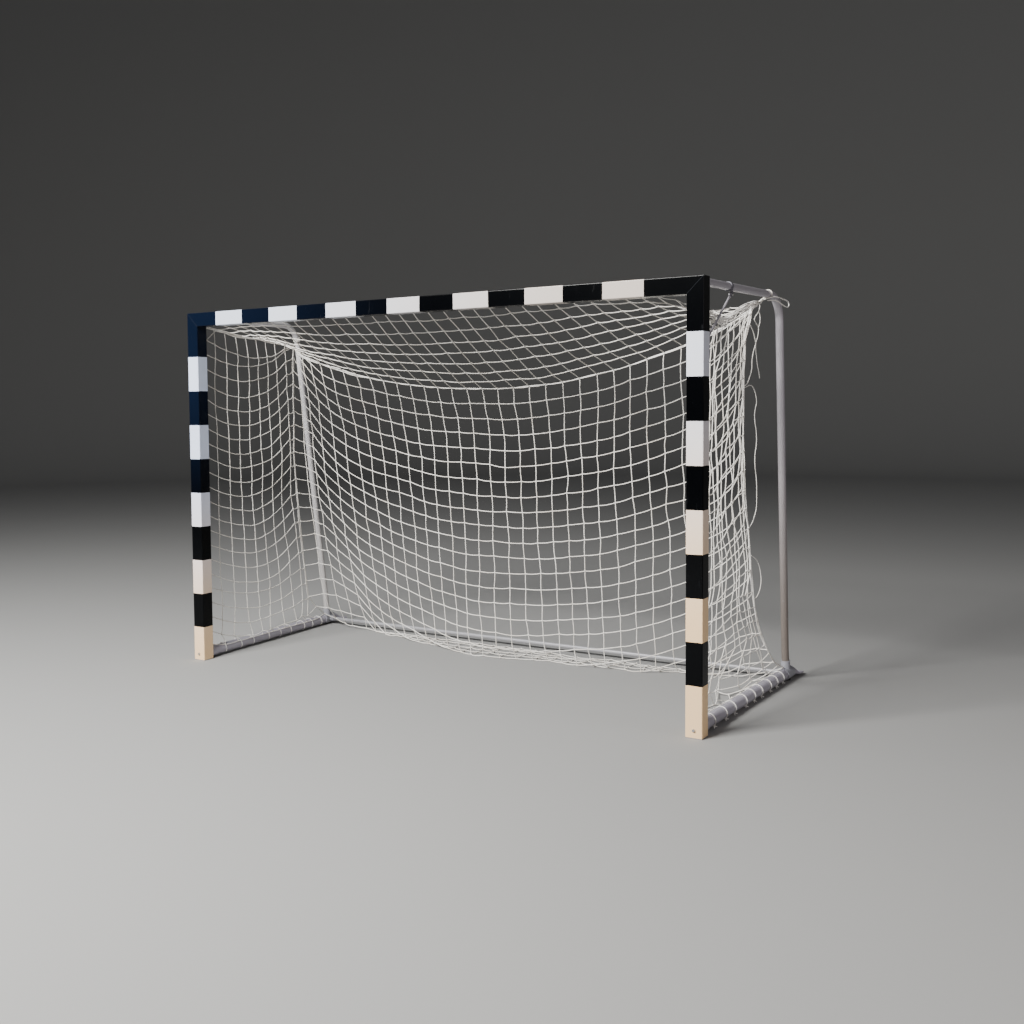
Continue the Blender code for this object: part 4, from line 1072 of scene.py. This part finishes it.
# %% Bow ties
TIE_RADIUS = 0.0220
TIE_PITCH = 0.0054
TIE_LEADS = 5
TIES = {-1: (1.049, 1.970, (0, 0.35, -0.937), 5), 1: (0.885, ARM_HEIGHT, (0, 1, 0), 1)}
for side, word in SIDE_WORDS:
    depth, height, along, turns = TIES[side]
    tie = Cordage(word + "_bow_tie_cord")
    hook = seat(gather(side) + np.array([0, -0.008, 0.004]))
    middle, along = on_bow(side, depth, height), np.array(along)
    up = np.cross((1, 0, 0), along)
    turn = np.linspace(0, 2 * math.pi, 26)[:, None]
    for n in range(turns):
        shift = along * ((n - turns / 2) * TIE_PITCH + 0.003 * np.sin(turn))
        tie.cord(middle + shift + (np.cos(turn) * [1, 0, 0] + np.sin(turn) * up) * TIE_RADIUS, CORD / 2)
    for n in range(TIE_LEADS):
        leave = middle + along * (n - 2) * TIE_PITCH - [side * 0.016, 0, 0.016]
        way = (hook + leave) / 2 + [0, 0.004 * (n - 2), 0.003 * (n - 2)]
        tie.cord(smooth_line([leave, way, hook], 0.01), CORD / 2)
    made = tie.piece(net_cord)
    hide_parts(word + "_bow_tie")

# %% [markdown]
# ## Broken cords
#
# The net is worn: beside the right corner several meshes are torn, and their cords hang down in
# loose curves that touch the net here and there. A pulled end lies back along the arm of the bow as
# a flat loop. Each is a cord of its own, led through the places where it was seen, given as depth
# and height in the plane of the side.

# %% Loose strands
def strand(name, line, diameter=0.0040, far_end="knot", lay="hanging", finish=net_cord):
    made = Cordage(name)
    path = smooth_line(np.array(line, float), 0.008)
    made.cord(path, diameter / 2)
    piece = made.piece(finish)


TORN_INWARD = 0.045
STRANDS = {
    "loose_strand_high": ((0.960, 2.030), (0.985, 2.015), (0.971, 1.986), (0.925, 1.957), (0.905, 1.940),
                          (0.935, 1.920), (0.968, 1.900), (0.962, 1.863), (0.930, 1.820), (0.893, 1.773),
                          (0.874, 1.728), (0.872, 1.685), (0.837, 1.640), (0.800, 1.610), (0.770, 1.600)),
    "loose_strand_loop": ((0.971, 1.986), (0.990, 1.962), (0.990, 1.932), (0.968, 1.900)),
    "loose_strand_inner": ((0.790, 1.938), (0.812, 1.924), (0.858, 1.900), (0.899, 1.866), (0.930, 1.820)),
    "loose_strand_middle": ((0.769, 1.592), (0.801, 1.596), (0.845, 1.603), (0.893, 1.594), (0.933, 1.555),
                            (0.945, 1.515), (0.920, 1.465), (0.922, 1.420), (0.946, 1.364), (0.948, 1.300),
                            (0.927, 1.246), (0.930, 1.189), (0.953, 1.115), (0.958, 1.037), (0.952, 0.965),
                            (0.900, 0.905), (0.840, 0.870)),
    "loose_strand_low": ((0.880, 0.730), (0.925, 0.715), (0.975, 0.690), (1.015, 0.645), (1.035, 0.590),
                         (1.020, 0.540), (0.975, 0.505), (0.925, 0.495)),
}
FRAYED = ((0.930, 1.820), (0.928, 1.790), (0.942, 1.745), (0.958, 1.705), (0.978, 1.673), (0.990, 1.640))
POST_LOOP = ((0.092, 1.915), (0.133, 1.937), (0.170, 1.965), (0.206, 1.988))
for name, places in STRANDS.items():
    strand(name, on_side(1, places, TORN_INWARD))
strand("frayed_end", on_side(1, FRAYED, TORN_INWARD), 0.0022, "bare")
strand("post_loop", on_side(-1, POST_LOOP, 0.001), lay="taut")

# %% [markdown]
# The pulled end on the arm of the right bow is one long mesh of the net, drawn out flat. It starts
# at the tie, follows the bend and comes back to the same place.

# %% Tail loop
TAIL = ((0.860, 2.037), (0.875, 2.043), (0.900, 2.047), (0.940, 2.047), (0.975, 2.044), (1.035, 2.040),
        (1.082, 2.036), (1.100, 2.022), (1.085, 2.007), (1.045, 2.007), (1.002, 2.013), (0.950, 2.022),
        (0.905, 2.028), (0.880, 2.029), (0.862, 2.027))
TAIL_OUTWARD = (0.030, 0.045, 0.058, 0.063, *[0.064] * 8, 0.060, 0.048, 0.034)
strand("tail_loop", on_side(1, TAIL, -np.array(TAIL_OUTWARD)), 0.0058, finish=lace_cord)
